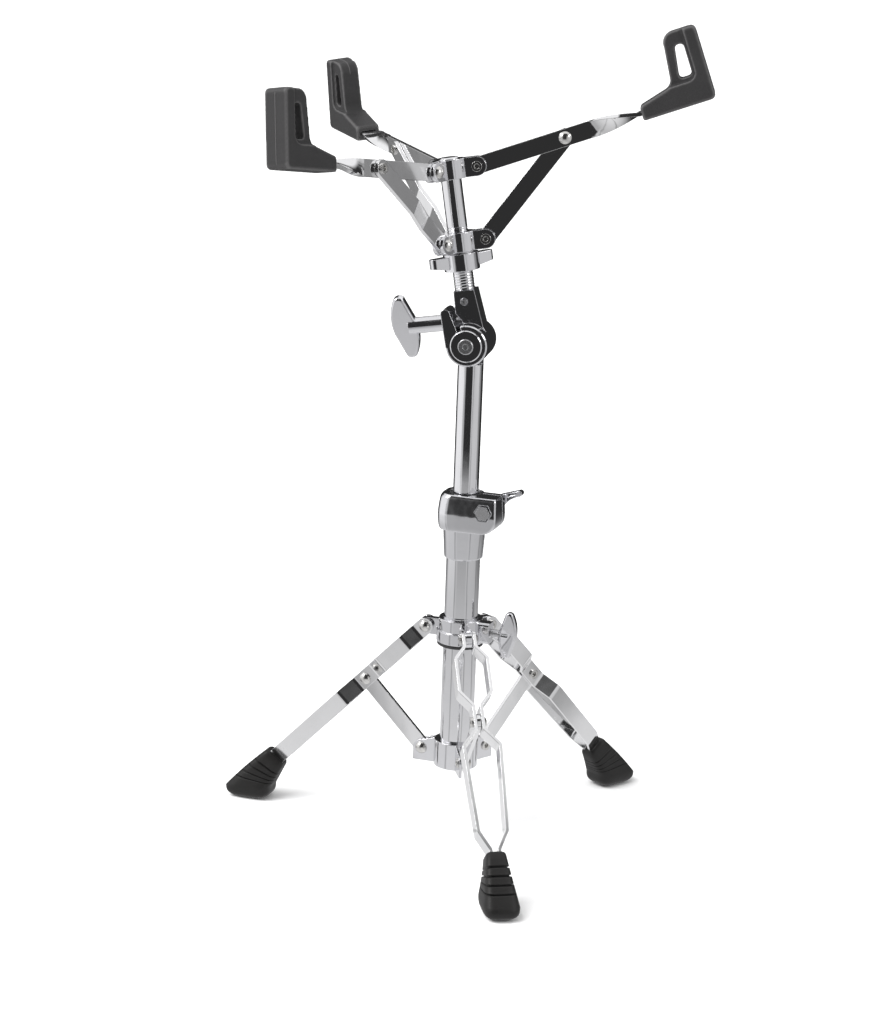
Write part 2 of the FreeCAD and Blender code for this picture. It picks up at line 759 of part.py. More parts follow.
# Legs
def stays_and_legs():
    """Three legs: a stay, a pair of bowed straps, a rivet and a rubber boot each."""
    pinch = "stay_thick / 2 + side_gap"
    lug_side = "upper_lug_thick / 2 + side_gap"
    foot_start = "leg_length - strap_foot_above"
    path = [
        ("-strap_width / 2", lug_side),
        ("strap_top_flat", lug_side),
        ("strap_top_flat + strap_top_spread", "strap_upper_bow"),
        ("stay_length - strap_mid_above - strap_mid_close", "strap_upper_bow"),
        ("stay_length - strap_mid_above", pinch),
        ("stay_length + strap_mid_below", pinch),
        ("stay_length + strap_mid_below + strap_low_spread", "strap_lower_bow"),
        (foot_start + " - strap_low_close", "strap_lower_bow_end"),
        (foot_start, "strap_foot_half_gap"),
        ("leg_length + strap_in_foot", "strap_foot_half_gap"),
    ]
    mirrored = [(across, "-(%s)" % out) for across, out in path]
    stay_path = [("-stay_width / 2", "-stay_thick / 2"), ("stay_length + stay_width / 2", "-stay_thick / 2")]
    grip = pinch + " + strap_thick"
    for name, angle in LEGS.items():
        leg_frame = spin("z", angle)
        leg_line = leg_frame * shift("leg_pivot_radius", "0", LEG_TOP) * spin("y", number("leg_angle"))
        stay_line = leg_frame * shift("leg_pivot_radius", "0", STAY_FOOT) * spin("y", -number("leg_angle"))
        for side, route, place in ((1, path, "ccw"), (-1, mirrored, "cw")):
            label = "leg_strap_%s_%s" % (name, place)
            strap = flat_bar(label, route, "strap_thick", "strap_width", side,
                             ("0", "stay_length"), "strap_bend_radius", ("start",))
            keep(strap.body, label, leg_line)
        stay = flat_bar("stay_" + name, stay_path, "stay_thick", "stay_width", 1, ("0", "stay_length"))
        keep(stay.body, "stay_" + name, stay_line)
        pin = rivet("leg_rivet_" + name, grip, grip)
        keep(pin.body, "leg_rivet_" + name, leg_line * shift("stay_length", "0", "0"))
        foot("foot_" + name, leg_frame)


TOP_OUTER = ("%s + foot_top_outer_out" % FOOT_ENTRY, "foot_entry_height + foot_top_outer_up")
TOE = ("%s + foot_toe_out" % FOOT_ENTRY, "foot_toe_height")


def boot_form(label, inset):
    """The boot's outer form, drawn in by an inset to make the core under the ribs."""
    piece = Piece(label)
    side = [
        ("%s - foot_top_inner_in + %s" % (FOOT_ENTRY, inset),
         "foot_entry_height + foot_top_inner_up - %s" % inset),
        ("%s + foot_heel_out + 2 * %s" % (FOOT_ENTRY, inset), "foot_heel_height + %s" % inset),
        ("%s + foot_sole_inner_out" % FOOT_ENTRY, inset, "foot_heel_curve", "ccw"),
        ("%s + foot_sole_outer_out" % FOOT_ENTRY, inset),
        ("%s - 2 * %s" % (TOE[0], inset), "%s + %s" % (TOE[1], inset), "foot_sole_curve", "ccw"),
        ("%s - %s" % (TOP_OUTER[0], inset), "%s - %s" % (TOP_OUTER[1], inset)),
    ]
    piece.pad(piece.profile("XZ", [side]), "foot_sole_width - 4 * %s" % inset, "both")
    flanks = []
    for sign in ("", "-"):
        flanks.append([
            (sign + "(foot_sole_width / 2 - 2 * %s)" % inset, TOE[1]),
            (sign + "foot_sole_width", TOE[1]),
            (sign + "foot_sole_width", TOP_OUTER[1]),
            (sign + "(foot_top_width / 2 - 1.5 * %s)" % inset, TOP_OUTER[1]),
        ])
    piece.cut(piece.profile("YZ", flanks))
    return piece


def box(length, width, height, placement):
    block = doc.addObject("Part::Box", "box")
    bind(block, "Length", length)
    bind(block, "Width", width)
    bind(block, "Height", height)
    block.Placement = placement
    return block


def boolean(kind, base, tool):
    result = doc.addObject("Part::" + kind, kind.lower())
    result.Base = base
    result.Tool = tool
    tool.recompute()
    result.recompute()
    return result


def foot(label, leg_frame):
    """A rubber boot: ribs on a core, with a socket for the two strap ends."""
    outer = boot_form(label + "_outer", "0 * foot_rib_depth")
    half_height = number(TOP_OUTER[1]) / 2

    def standing(edge):
        return isinstance(edge.Curve, Part.Line) and edge.BoundBox.ZLength > half_height

    outer.round(standing, "foot_corner_radius")
    core = boot_form(label + "_core", "foot_rib_depth")
    slab = "2 * foot_toe_out"
    ribs = outer.body
    for place in range(GROOVES):
        part = number("foot_groove_first") + place * number("foot_groove_step")
        slope = number("foot_groove_flat")
        slope += (number("foot_groove_steep") - slope) * GROOVE_FADE ** place
        across = number(TOP_OUTER[0]) + part * (number(TOE[0]) - number(TOP_OUTER[0]))
        up = number(TOP_OUTER[1]) + part * (number(TOE[1]) - number(TOP_OUTER[1]))
        at_edge = FreeCAD.Placement(FreeCAD.Vector(across, 0, up), FreeCAD.Rotation())
        back = shift("-1.8 * foot_toe_out", "-foot_sole_width", "-foot_groove_width / 2")
        groove = box(slab, "2 * foot_sole_width", "foot_groove_width", at_edge * spin("y", -slope) * back)
        ribs = boolean("Cut", ribs, groove)
    solid = boolean("Fuse", ribs, core.body)
    entry = shift(FOOT_ENTRY, "0", "foot_entry_height") * spin("y", number("leg_angle"))
    half = "(strap_foot_half_gap + strap_thick + seat_gap)"
    socket = box("2 * strap_in_foot + strap_in_foot + seat_gap", "2 * " + half, "strap_width + 2 * seat_gap",
                 entry * shift("-2 * strap_in_foot", "-" + half, "-strap_width / 2 - seat_gap"))
    keep(boolean("Cut", solid, socket), label, leg_frame)


# Height clamp
def block_outline(left, right, half, back):
    """The clamp in plan: round behind, a wide corner on the left and two ears on the right."""
    wide = "clamp_left_round"
    tight = "clamp_right_round"
    return [
        ("%s - %s" % (right, tight), "-(%s)" % half),
        (right, "-(%s) + %s" % (half, tight), tight, "ccw"),
        (right, "%s - %s" % (back, tight)),
        ("%s - %s" % (right, tight), back, tight, "ccw"),
        ("sqrt((%s) ^ 2 - (%s) ^ 2)" % (half, back), back),
        ("0", half, half, "ccw"),
        ("-(%s) + %s" % (left, wide), half),
        ("-(%s)" % left, "%s - %s" % (half, wide), wide, "ccw"),
        ("-(%s)" % left, "-(%s) + %s" % (half, wide)),
        ("-(%s) + %s" % (left, wide), "-(%s)" % half, wide, "ccw"),
    ]


def clamp():
    piece = Piece("clamp_body")
    bore = "base_tube_dia / 2 + seat_gap"
    end = "clamp_skirt_end_dia / 2"
    neck = "clamp_skirt_dia / 2"
    lip = neck + " + clamp_lip"
    sections = []
    for part in BOWL_SECTIONS:
        grown = math.sqrt(1 - (1 - part) ** 2)
        ear = "(%s + clamp_ear_start)" % lip
        left = "%s + (clamp_left - (%s)) * %g" % (lip, lip, grown)
        right = "%s + (clamp_reach - %s) * %g" % (ear, ear, grown)
        half = "%s + (clamp_half_width - (%s)) * %g" % (lip, lip, grown)
        rise = "clamp_skirt_height + clamp_bulge_height * %g" % part
        sections.append(piece.profile("XY", [block_outline(left, right, half, "clamp_ear_back")], lift=rise))
    for part in CROWN_SECTIONS:
        inset = "clamp_top_inset * %g + clamp_edge_radius * %g" % (part ** 2, part ** EDGE_POWER)
        block = block_outline("clamp_left - (%s)" % inset, "clamp_reach - (%s) / 2" % inset,
                              "clamp_half_width - (%s)" % inset, "clamp_ear_back - (%s)" % inset)
        rise = "clamp_skirt_height + clamp_bulge_height + (clamp_body_height - clamp_bulge_height) * %g" % part
        sections.append(piece.profile("XY", [block], lift=rise))
    piece.loft(sections)
    skirt = [
        (bore, "0"),
        (end + " - clamp_skirt_round", "0"),
        (end, "clamp_skirt_round", "clamp_skirt_round", "ccw"),
        (neck, "clamp_skirt_height"),
        (neck + " - clamp_lip", "clamp_skirt_height"),
        (neck + " - clamp_lip", "clamp_skirt_height + clamp_edge_radius"),
        (bore, "clamp_skirt_height + clamp_edge_radius"),
    ]
    piece.revolve(piece.profile("XZ", [skirt]))
    piece.cut(piece.profile("XY", circles=[("0", "0", "2 * (%s)" % bore)]))
    slot = rectangle("0", "-clamp_slot / 2", "clamp_reach + clamp_slot", "clamp_slot / 2")
    piece.cut(piece.profile("XY", [slot]))
    bolt_z = "clamp_skirt_height + clamp_bolt_height"
    hole = [("clamp_bolt_offset", bolt_z, "clamp_bolt_dia + 2 * seat_gap")]
    piece.cut(piece.profile("XZ", circles=hole))
    recess = hexagon("bolt_recess_across", "clamp_bolt_offset", bolt_z)
    piece.cut(piece.profile("XZ", [recess], lift="clamp_half_width + bolt_head_height"),
              "bolt_head_height + bolt_recess_depth", "down")
    keep(piece.body, "clamp_body", clamp_frame)

    bolt = Piece("clamp_bolt")
    seat = "clamp_half_width - bolt_recess_depth"
    head = hexagon("bolt_head_across", "clamp_bolt_offset", bolt_z)
    bolt.pad(bolt.profile("XZ", [head], lift=seat), "bolt_head_height")
    shank = [("clamp_bolt_offset", bolt_z, "clamp_bolt_dia")]
    bolt.pad(bolt.profile("XZ", circles=shank, lift=seat),
             "%s + clamp_ear_back + side_gap + lever_thick" % seat, "down")
    keep(bolt.body, "clamp_bolt", clamp_frame)

    lever = Piece("clamp_lever")
    hub = "lever_hub_dia / 2"
    tip = "lever_tab_thick / 2"
    pocket_end = "lever_tab_reach - lever_tab_thick"
    outline = [
        ("-" + hub, "0", hub, "ccw"),
        ("0", "-" + hub, hub, "ccw"),
        ("%s * 0.8" % hub, "-%s * 0.6" % hub, hub, "ccw"),
        (hub, "-lever_web_low"),
        ("lever_tab_reach - " + tip, "lever_tab_top - lever_tab_thick", "lever_web_curve", "cw"),
        ("lever_tab_reach", "lever_tab_top - " + tip, tip, "ccw"),
        ("lever_tab_reach - " + tip, "lever_tab_top", tip, "ccw"),
        (hub, "lever_tab_top - lever_tab_rise"),
        ("0", hub),
    ]
    start = "-clamp_ear_back - side_gap"
    lever.pad(lever.profile("XZ", [outline], lift=start), "lever_thick", "down")
    lever.cut(lever.profile("XZ", circles=[("0", "0", "clamp_bolt_dia + 2 * pin_gap")]))
    middle = "(lever_tab_top - lever_tab_thick / 2)"
    half = "lever_pocket_width / 2"
    pocket = [
        ("%s - lever_pocket_length" % pocket_end, "%s - 2 * %s - lever_pocket_length / 4" % (middle, half)),
        (pocket_end, "%s - %s" % (middle, half)),
        (pocket_end, "%s + %s" % (middle, half), "0.6 * lever_pocket_width", "ccw"),
        ("%s - lever_pocket_length" % pocket_end, "%s + %s - lever_pocket_length / 4" % (middle, half)),
    ]
    lever.cut(lever.profile("XZ", [pocket], lift=start), "lever_pocket_depth", "down")
    keep(lever.body, "clamp_lever", clamp_frame * shift("clamp_bolt_offset", "0", bolt_z))


# Mast and tilter
def mast():
    bush = Piece("tube_bush")
    inner = "mast_tube_dia / 2 + slide_gap"
    outer = "base_tube_dia / 2 - base_tube_wall - seat_gap"
    sleeve = [
        (inner, "-bush_length"),
        (outer, "-bush_length"),
        (outer, "seat_gap"),
        ("base_tube_dia / 2 - slide_gap", "seat_gap"),
        ("base_tube_dia / 2 - slide_gap", "bush_flange"),
        (inner, "bush_flange"),
    ]
    bush.revolve(bush.profile("XZ", [sleeve]))
    keep(bush.body, "tube_bush", shift("0", "0", TUBE_TOP))
    mast_tube = tube("mast_tube", "mast_tube_dia", "mast_tube_wall", "mast_length")
    keep(mast_tube.body, "mast_tube", spin("z", number("tilter_turn")) * shift("0", "0", MAST_LOW))


def tilter_lower():
    piece = Piece("tilter_lower")
    barrel_end = "tilter_ring_length + slide_gap"
    housing = "tilter_housing_dia / 2"
    back = "side_gap + tilter_housing_length"
    outline = [
        ("0", "-(%s)" % barrel_end),
        ("tilter_barrel_dia / 2", "-(%s)" % barrel_end),
        ("tilter_barrel_dia / 2", "side_gap"),
        (housing, "side_gap"),
        (housing, back + " - tilter_housing_round"),
        (housing + " - tilter_housing_round", back, "tilter_housing_round", "ccw"),
        ("0", back),
    ]
    piece.revolve(piece.profile("XY", [outline]))
    neck = "mast_tube_dia / 2"
    flat = "side_gap"
    corner = "sqrt((%s) ^ 2 - %s ^ 2)" % (neck, flat)
    half_round = [
        ("-" + corner, flat, neck, "ccw"),
        (corner, flat),
        ("0", neck, neck, "ccw"),
    ]
    piece.pad(piece.profile("XY", [half_round], lift="-tilter_rise"), "tilter_rise / 2")
    plug = [("0", "0", "mast_tube_dia - 2 * mast_tube_wall - 2 * seat_gap")]
    piece.pad(piece.profile("XY", circles=plug, lift="-tilter_rise"), "tilter_plug_length", "down")
    piece.cut(piece.profile("XZ", circles=[("0", "0", "tilter_screw_dia + 2 * seat_gap")], lift=barrel_end),
              "tilter_screw_length + seat_gap", "down")
    keep(piece.body, "tilter_lower", mast_frame)

    cap = Piece("tilter_cap")
    cap_back = "-(%s)" % barrel_end
    cap_front = cap_back + " - tilter_cap_thick"
    radius = "tilter_cap_dia / 2"
    disc = [
        ("tilter_screw_dia / 2 + seat_gap", cap_front),
        (radius + " - tilter_cap_thick / 2", cap_front),
        (radius, cap_front + " + tilter_cap_thick / 2"),
        (radius, cap_back),
        ("tilter_screw_dia / 2 + seat_gap", cap_back),
    ]
    cap.revolve(cap.profile("XY", [disc]))
    keep(cap.body, "tilter_cap", mast_frame)

    screw = Piece("tilter_screw")
    head = "tilter_screw_head_dia / 2"
    head_front = cap_front + " - tilter_screw_head_height"
    outline = [
        ("0", head_front),
        (head + " - tilter_screw_head_height / 3", head_front),
        (head, head_front + " + tilter_screw_head_height / 3"),
        (head, cap_front),
        ("tilter_screw_dia / 2", cap_front),
        ("tilter_screw_dia / 2", cap_back + " + tilter_screw_length"),
        ("0", cap_back + " + tilter_screw_length"),
    ]
    screw.revolve(screw.profile("XY", [outline]))
    screw.cut(screw.profile("XZ", [hexagon("hex_socket_across")], lift="-(%s)" % head_front),
              "hex_socket_depth", "down")
    keep(screw.body, "tilter_screw", mast_frame)


def tilter_upper():
    piece = Piece("tilter_upper")
    ring = "tilter_ring_dia / 2"
    bore = "tilter_barrel_dia / 2 + slide_gap"
    section = [
        (bore, "-tilter_ring_length"),
        (ring + " - tilter_ring_edge", "-tilter_ring_length"),
        (ring, "tilter_ring_edge - tilter_ring_length"),
        (ring, "0"),
        (bore, "0"),
    ]
    piece.revolve(piece.profile("XY", [section]))
    wedge = [
        ("-wedge_top_left", "wedge_top"),
        ("-wedge_left", "wedge_left_low"),
        ("-wedge_notch", "wedge_notch_height"),
        ("-wedge_notch", "%s * 0.9" % bore),
        ("%s * 0.9 * cos(wedge_root_angle)" % ring, "%s * 0.9 * sin(wedge_root_angle)" % ring),
        ("%s * cos(wedge_root_angle)" % ring, "%s * sin(wedge_root_angle)" % ring),
        ("wedge_waist_right", "wedge_waist_height"),
        ("wedge_top_right", "wedge_top"),
    ]
    piece.pad(piece.profile("XZ", [wedge]), "wedge_depth", "both")
    ear = [
        ("-" + ring, "0"),
        ("-(%s) * 0.9" % ring, "0"),
        ("-ear_low", "ear_low_height"),
        ("-ear_mid", "ear_mid_height"),
        ("-ear_top_right", "ear_top_height"),
        ("-ear_top_left", "ear_top_height", "ear_top_round", "ccw"),
        ("-ear_shoulder", "ear_shoulder_height"),
    ]
    piece.pad(piece.profile("XZ", [ear]), "tilter_ring_length", "up")
    piece.cut(piece.profile("XZ", circles=[("0", "0", "2 * (%s)" % bore)]), "tilter_ring_length * 2", "both")
    clear = [("0", "0", "tilter_housing_dia + 4 * side_gap")]
    piece.cut(piece.profile("XZ", circles=clear), "wedge_depth", "down")
    slot = [
        ("-ear_low", "ear_low_height - side_gap * 4"),
        ("-ear_low + tilter_slot", "ear_low_height - side_gap * 4"),
        ("-wedge_notch", "wedge_notch_height"),
        ("-ear_mid", "ear_mid_height"),
    ]
    piece.cut(piece.profile("XZ", [slot]))
    stud = [("-tilter_stud_back", "tilter_stud_height", "tilter_stud_dia + 2 * pin_gap")]
    piece.cut(piece.profile("YZ", circles=stud, lift="tilter_stud_end + seat_gap"), None, "down")
    spigot = [("0", "0", "spigot_dia + 2 * seat_gap")]
    piece.cut(piece.profile("XY", circles=spigot, lift="wedge_top"), "spigot_length + seat_gap", "down")
    grub_z = "wedge_top - set_screw_below_top"
    grub = [("0", grub_z, "set_screw_dia + 2 * seat_gap")]
    piece.cut(piece.profile("XZ", circles=grub, lift="wedge_depth / 2"), "wedge_depth / 2", "down")
    keep(piece.body, "tilter_upper", head_frame)

    screw = Piece("set_screw")
    tip = "spigot_dia / 2 + seat_gap"
    screw.pad(screw.profile("XZ", circles=[("0", grub_z, "set_screw_dia")], lift=tip), "set_screw_length")
    socket = hexagon("set_screw_dia / 2", "0", grub_z)
    screw.cut(screw.profile("XZ", [socket], lift=tip + " + set_screw_length"), "hex_socket_depth", "down")
    keep(screw.body, "set_screw", head_frame)

    place = head_frame * shift("0", "-tilter_stud_back", "tilter_stud_height") * spin("z", 180)
    place = place * spin("x", number("tilter_wing_turn"))
    wing_start = "tilter_stem_start + tilter_stem_length"
    wing = wing_form("tilter_wing", wing_start + " - side_gap", "tilter_wing_width", "tilter_wing_height",
                     "tilter_wing_thick")
    wing.pad(wing.profile("YZ", circles=[("0", "0", "tilter_stem_dia")], lift="tilter_stem_start"),
             "tilter_stem_length + tilter_wing_width / 3")
    stud_hole = [("0", "0", "tilter_stud_dia + 2 * seat_gap")]
    wing.cut(wing.profile("YZ", circles=stud_hole, lift="tilter_stem_start"), "tilter_stem_hole", "up")
    keep(wing.body, "tilter_wing", place)
    stud_piece = Piece("tilter_stud")
    stud_piece.pad(stud_piece.profile("YZ", circles=[("0", "0", "tilter_stud_dia")], lift="-tilter_stud_end"),
                   "tilter_stud_end + tilter_stem_start + tilter_stem_hole - seat_gap")
    keep(stud_piece.body, "tilter_stud", place)


# Basket
def hub(label, bore, frame):
    piece = Piece(label)
    half = "hub_height / 2"
    inner = "arm_thick / 2 + side_gap"
    outer = inner + " + hub_ear_thick"
    ear = [
        ("hub_core_dia / 4 + shaft_dia / 4", "-" + half),
        ("hub_pivot_radius", "-" + half),
        ("hub_pivot_radius + " + half, "0", half, "ccw"),
        ("hub_pivot_radius", half, half, "ccw"),
        ("hub_core_dia / 4 + shaft_dia / 4", half),
    ]
    piece.pad(piece.profile("XY", circles=[("0", "0", "hub_core_dia")]), "hub_height", "both")
    piece.polar(piece.pad(piece.profile("XZ", [ear]), "2 * (%s)" % outer, "both"))
    slot = rectangle("hub_slot_start", "-(%s)" % inner, "hub_pivot_radius + hub_height", inner)
    piece.polar(piece.cut(piece.profile("XY", [slot])))
    hole = [("hub_pivot_radius", "0", "pin_dia + 2 * seat_gap")]
    piece.polar(piece.cut(piece.profile("XZ", circles=hole)))
    piece.cut(piece.profile("XY", circles=[("0", "0", bore)]))
    place = frame * spin("z", number("arm_turn"))
    keep(piece.body, label, place)
    keep(rivet_ring(label + "_rivets", "hub_pivot_radius", outer).body, label + "_rivets", place)


def basket_core():
    shaft = Piece("basket_shaft")
    top = "hub_pivot_height + hub_height / 2 + shaft_above_hub"
    profile = [
        ("0", "wedge_top - spigot_length"),
        ("spigot_dia / 2", "wedge_top - spigot_length"),
        ("spigot_dia / 2", "wedge_top"),
        ("shaft_thread_root / 2", "wedge_top"),
        ("shaft_thread_root / 2", "wedge_top + shaft_thread_length"),
        ("shaft_dia / 2", "wedge_top + shaft_thread_length"),
        ("shaft_dia / 2", top + " - washer_thick"),
        ("shaft_dia / 2 - washer_thick", top),
        ("0", top),
    ]
    shaft.revolve(shaft.profile("XZ", [profile]))
    keep(shaft.body, "basket_shaft", head_frame)
    hub("upper_hub", "shaft_dia + 2 * seat_gap", hub_frame)
    hub("lower_hub", "shaft_dia + 2 * slide_gap", low_hub_frame)

    washer = Piece("thrust_washer")
    rings = [("0", "0", "washer_dia"), ("0", "0", "shaft_dia + 2 * slide_gap")]
    washer.pad(washer.profile("XY", circles=rings, lift="-hub_height / 2"), "washer_thick", "down")
    keep(washer.body, "thrust_washer", low_hub_frame)

    nut = Piece("basket_nut")
    nut.pad(nut.profile("XY", circles=[("0", "0", "nut_dia")]), "nut_height", "down")
    lever = [
        ("nut_lever_reach - nut_lever_tip / 3", "-nut_lever_tip / 2"),
        ("nut_lever_reach", "-nut_lever_tip / 6", "nut_lever_tip / 2", "ccw"),
        ("nut_lever_reach", "nut_lever_tip / 6"),
        ("nut_lever_reach - nut_lever_tip / 3", "nut_lever_tip / 2", "nut_lever_tip / 2", "ccw"),
        ("0", "nut_lever_root / 2"),
        ("0", "-nut_lever_root / 2"),
    ]
    blank = nut.profile("XY", [lever], lift="-nut_lever_drop")
    nut.polar(nut.pad(blank, "nut_lever_root_height", "down"), 2)
    low = "-nut_lever_drop - nut_lever_root_height"
    slope = [
        ("nut_dia / 2", low),
        ("nut_lever_reach + nut_height", low),
        ("nut_lever_reach + nut_height", "-nut_lever_drop - nut_lever_tip_height"),
        ("nut_lever_reach", "-nut_lever_drop - nut_lever_tip_height"),
    ]
    nut.polar(nut.cut(nut.profile("XZ", [slope])), 2)
    nut.cut(nut.profile("XY", circles=[("0", "0", "shaft_dia + 2 * slide_gap")]))
    nut_top = shift("0", "0", "-hub_height / 2 - washer_thick - seat_gap")
    keep(nut.body, "basket_nut", low_hub_frame * nut_top * spin("z", number("nut_turn")))


def arm_bar(label):
    """A flat bar on edge at the hub, twisted a quarter turn to lie flat in the claw."""
    piece = Piece(label)
    half = "arm_width / 2"
    side = [
        ("0", "-" + half, half, "ccw"),
        ("arm_twist_start", "-" + half),
        ("arm_twist_start", half),
        ("0", half),
        ("-" + half, "0", half, "ccw"),
    ]
    piece.pad(piece.profile("XZ", [side]), "arm_thick", "both")
    section = rectangle("-arm_thick / 2", "-" + half, "arm_thick / 2", half)
    sections = []
    for place in range(TWIST_SECTIONS):
        part = place / (TWIST_SECTIONS - 1)
        lift = "arm_twist_start + (arm_twist_end - arm_twist_start) * %g" % part
        sections.append(piece.profile("YZ", [section], lift=lift, turn=QUARTER_TURN * part))
    piece.loft(sections)
    piece.pad(piece.profile("YZ", [section], lift="arm_twist_end", turn=QUARTER_TURN),
              "claw_start - arm_twist_end + arm_in_claw")
    holes = [(place, "0", "pin_dia + 2 * pin_gap") for place in ("0", "arm_to_strut")]
    piece.cut(piece.profile("XZ", circles=holes))
    return piece


def claw(label):
    """A rubber claw: a foot, an upright with a thinner web, and a window in the web."""
    piece = Piece(label)

    def inward(run):
        return "claw_back - (%s)" % run

    def above(rise):
        return "(%s) - claw_drop" % rise

    corner = "claw_corner_round"
    end = "claw_end_round"
    nose = "claw_nose_round"
    side = [
        (inward(corner), above("0 * claw_height")),
        ("claw_back", above(corner), corner, "ccw"),
        ("claw_back", above("claw_height - " + corner)),
        (inward(corner), above("claw_height"), corner, "ccw"),
        (inward("claw_upright_top - " + nose), above("claw_height")),
        (inward("claw_upright_top"), above("claw_height - " + nose), nose, "ccw"),
        (inward("claw_upright"), above("claw_shoulder_height + claw_throat_rise")),
        (inward("claw_upright + claw_throat_run"), above("claw_shoulder_height"), "claw_throat_round", "cw"),
        ("claw_start + " + end, above("claw_end_height")),
        ("claw_start", above("claw_end_height - " + end), end, "ccw"),
        ("claw_start", above(end + " / 2")),
        ("claw_start + %s / 2" % end, above("0 * claw_height"), end + " / 2", "ccw"),
    ]
    piece.pad(piece.profile("XZ", [side]), "claw_width", "both")
    face = number("claw_width") / 2
    piece.round(lambda edge: at_height(edge, face, "y") or at_height(edge, -face, "y"), "claw_edge_radius")
    web = [
        (inward("claw_frame_back"), above("2 * claw_height")),
        ("claw_start - claw_height", above("2 * claw_height")),
        ("claw_start - claw_height", above("claw_frame_foot + claw_edge_radius")),
        (inward("claw_frame_back + claw_frame_round"), above("claw_frame_foot + claw_edge_radius")),
        (inward("claw_frame_back"), above("claw_frame_foot + claw_edge_radius + claw_frame_round"),
         "claw_frame_round", "ccw"),
    ]
    piece.cut(piece.profile("XZ", [web], lift="claw_width / 2"), "claw_recess_depth", "down")
    piece.cut(piece.profile("XZ", [web], lift="-claw_width / 2"), "claw_recess_depth", "up")
    bend = "claw_window_round"
    low = "claw_window_low"
    high = "claw_window_high"
    near = "claw_window_back"
    low_far = near + " + claw_window_low_width"
    high_far = near + " + claw_window_high_width"
    window = [
        (inward(near + " + " + bend), above(low)),
        (inward(near), above("%s + %s" % (low, bend)), bend, "ccw"),
        (inward(near), above("%s - %s" % (high, bend))),
        (inward(near + " + " + bend), above(high), bend, "ccw"),
        (inward("%s - %s" % (high_far, bend)), above(high)),
        (inward(high_far), above("%s - %s" % (high, bend)), bend, "ccw"),
        (inward(low_far), above("%s + %s" % (low, bend))),
        (inward("%s - %s" % (low_far, bend)), above(low), bend, "ccw"),
    ]
    piece.cut(piece.profile("XZ", [window]))
    socket = rectangle("-arm_width / 2 - seat_gap", "-arm_thick / 2 - seat_gap",
                       "arm_width / 2 + seat_gap", "arm_thick / 2 + seat_gap")
    piece.cut(piece.profile("YZ", [socket], lift="claw_start"), "arm_in_claw + seat_gap", "up")
    return piece


def basket_arms():
    head = "rivet_head_dia / 2"
    dome = "((%s) ^ 2 + rivet_head_height ^ 2) / (2 * rivet_head_height)" % head
    arm_pin = [
        ("0", "arm_thick / 2"),
        ("pin_dia / 2", "arm_thick / 2"),
        ("pin_dia / 2", "-arm_thick / 2"),
        (head, "-arm_thick / 2"),
        ("0", "-arm_thick / 2 - rivet_head_height", dome, "cw"),
    ]
    near = "arm_thick / 2 + side_gap"
    far = near + " + strut_thick"
    tail = far + " + rivet_tail_height"
    strut_pin = [
        ("0", near),
        ("pin_dia / 2", near),
        ("pin_dia / 2", far),
        ("rivet_tail_dia / 2", far),
        ("rivet_tail_dia / 2", tail),
        ("rivet_hollow_dia / 2", tail),
        ("rivet_hollow_dia / 2", tail + " - rivet_hollow_depth"),
        ("0", tail + " - rivet_hollow_depth"),
    ]
    strut_path = [
        ("-strut_width / 2", "-strut_thick / 2"),
        ("strut_bend_low", "-strut_thick / 2"),
        ("strut_bend_high", near),
        ("strut_length + strut_width / 2", near),
    ]
    strut_angle = math.degrees(math.acos(number(ARM_OUT) / number("strut_length")))
    for name, angle in ARMS.items():
        way = spin("z", number("arm_turn") + angle)
        out = shift("hub_pivot_radius", "0", "0")
        arm_line = hub_frame * way * out * spin("y", -number("arm_angle"))
        strut_line = low_hub_frame * way * out * spin("y", -strut_angle)
        keep(arm_bar("arm_bar_" + name).body, "arm_bar_" + name, arm_line)
        keep(claw("claw_" + name).body, "claw_" + name, arm_line)
        strut = flat_bar("strut_" + name, strut_path, "strut_thick", "strut_width", 1, ("0", "strut_length"),
                         "strut_bend_radius")
        keep(strut.body, "strut_" + name, strut_line)
        for label, outline, place in (
                ("arm_rivet_" + name, arm_pin, arm_line * shift("arm_to_strut", "0", "0")),
                ("strut_rivet_" + name, strut_pin, strut_line * shift("strut_length", "0", "0"))):
            pin = Piece(label)
            pin.revolve(pin.profile("XY", [outline]))
            keep(pin.body, label, place)


base_tube()
lower_collar()
upper_collar()
stays_and_legs()
clamp()
mast()
tilter_lower()
tilter_upper()
basket_core()
basket_arms()

doc.recompute()
faults = [item.Label for item in doc.Objects if "Invalid" in item.State or "Error" in item.State]
if faults:
    raise ValueError("failed: " + ", ".join(faults))
os.makedirs("parts", exist_ok=True)
for label, thing in made.items():
    if thing.Shape.isNull() or not thing.Shape.isValid():
        raise ValueError("bad shape: " + label)
    thing.Shape.exportStep("parts/%s.step" % label)
print(len(made), "nodes")
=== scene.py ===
# %% [markdown]
# # A snare drum stand
#
# The solids come from the CAD frame: tubes, straps, castings, rivets and rubber. They already have their
# true shapes, so this lesson is mostly about finishes. Chrome has no colour of its own. What the eye reads
# as chrome is the room around it, so the studio matters as much as the shader.

# %% Load the frame
import json
import math

import bmesh
import bpy
from mathutils import Matrix, Vector


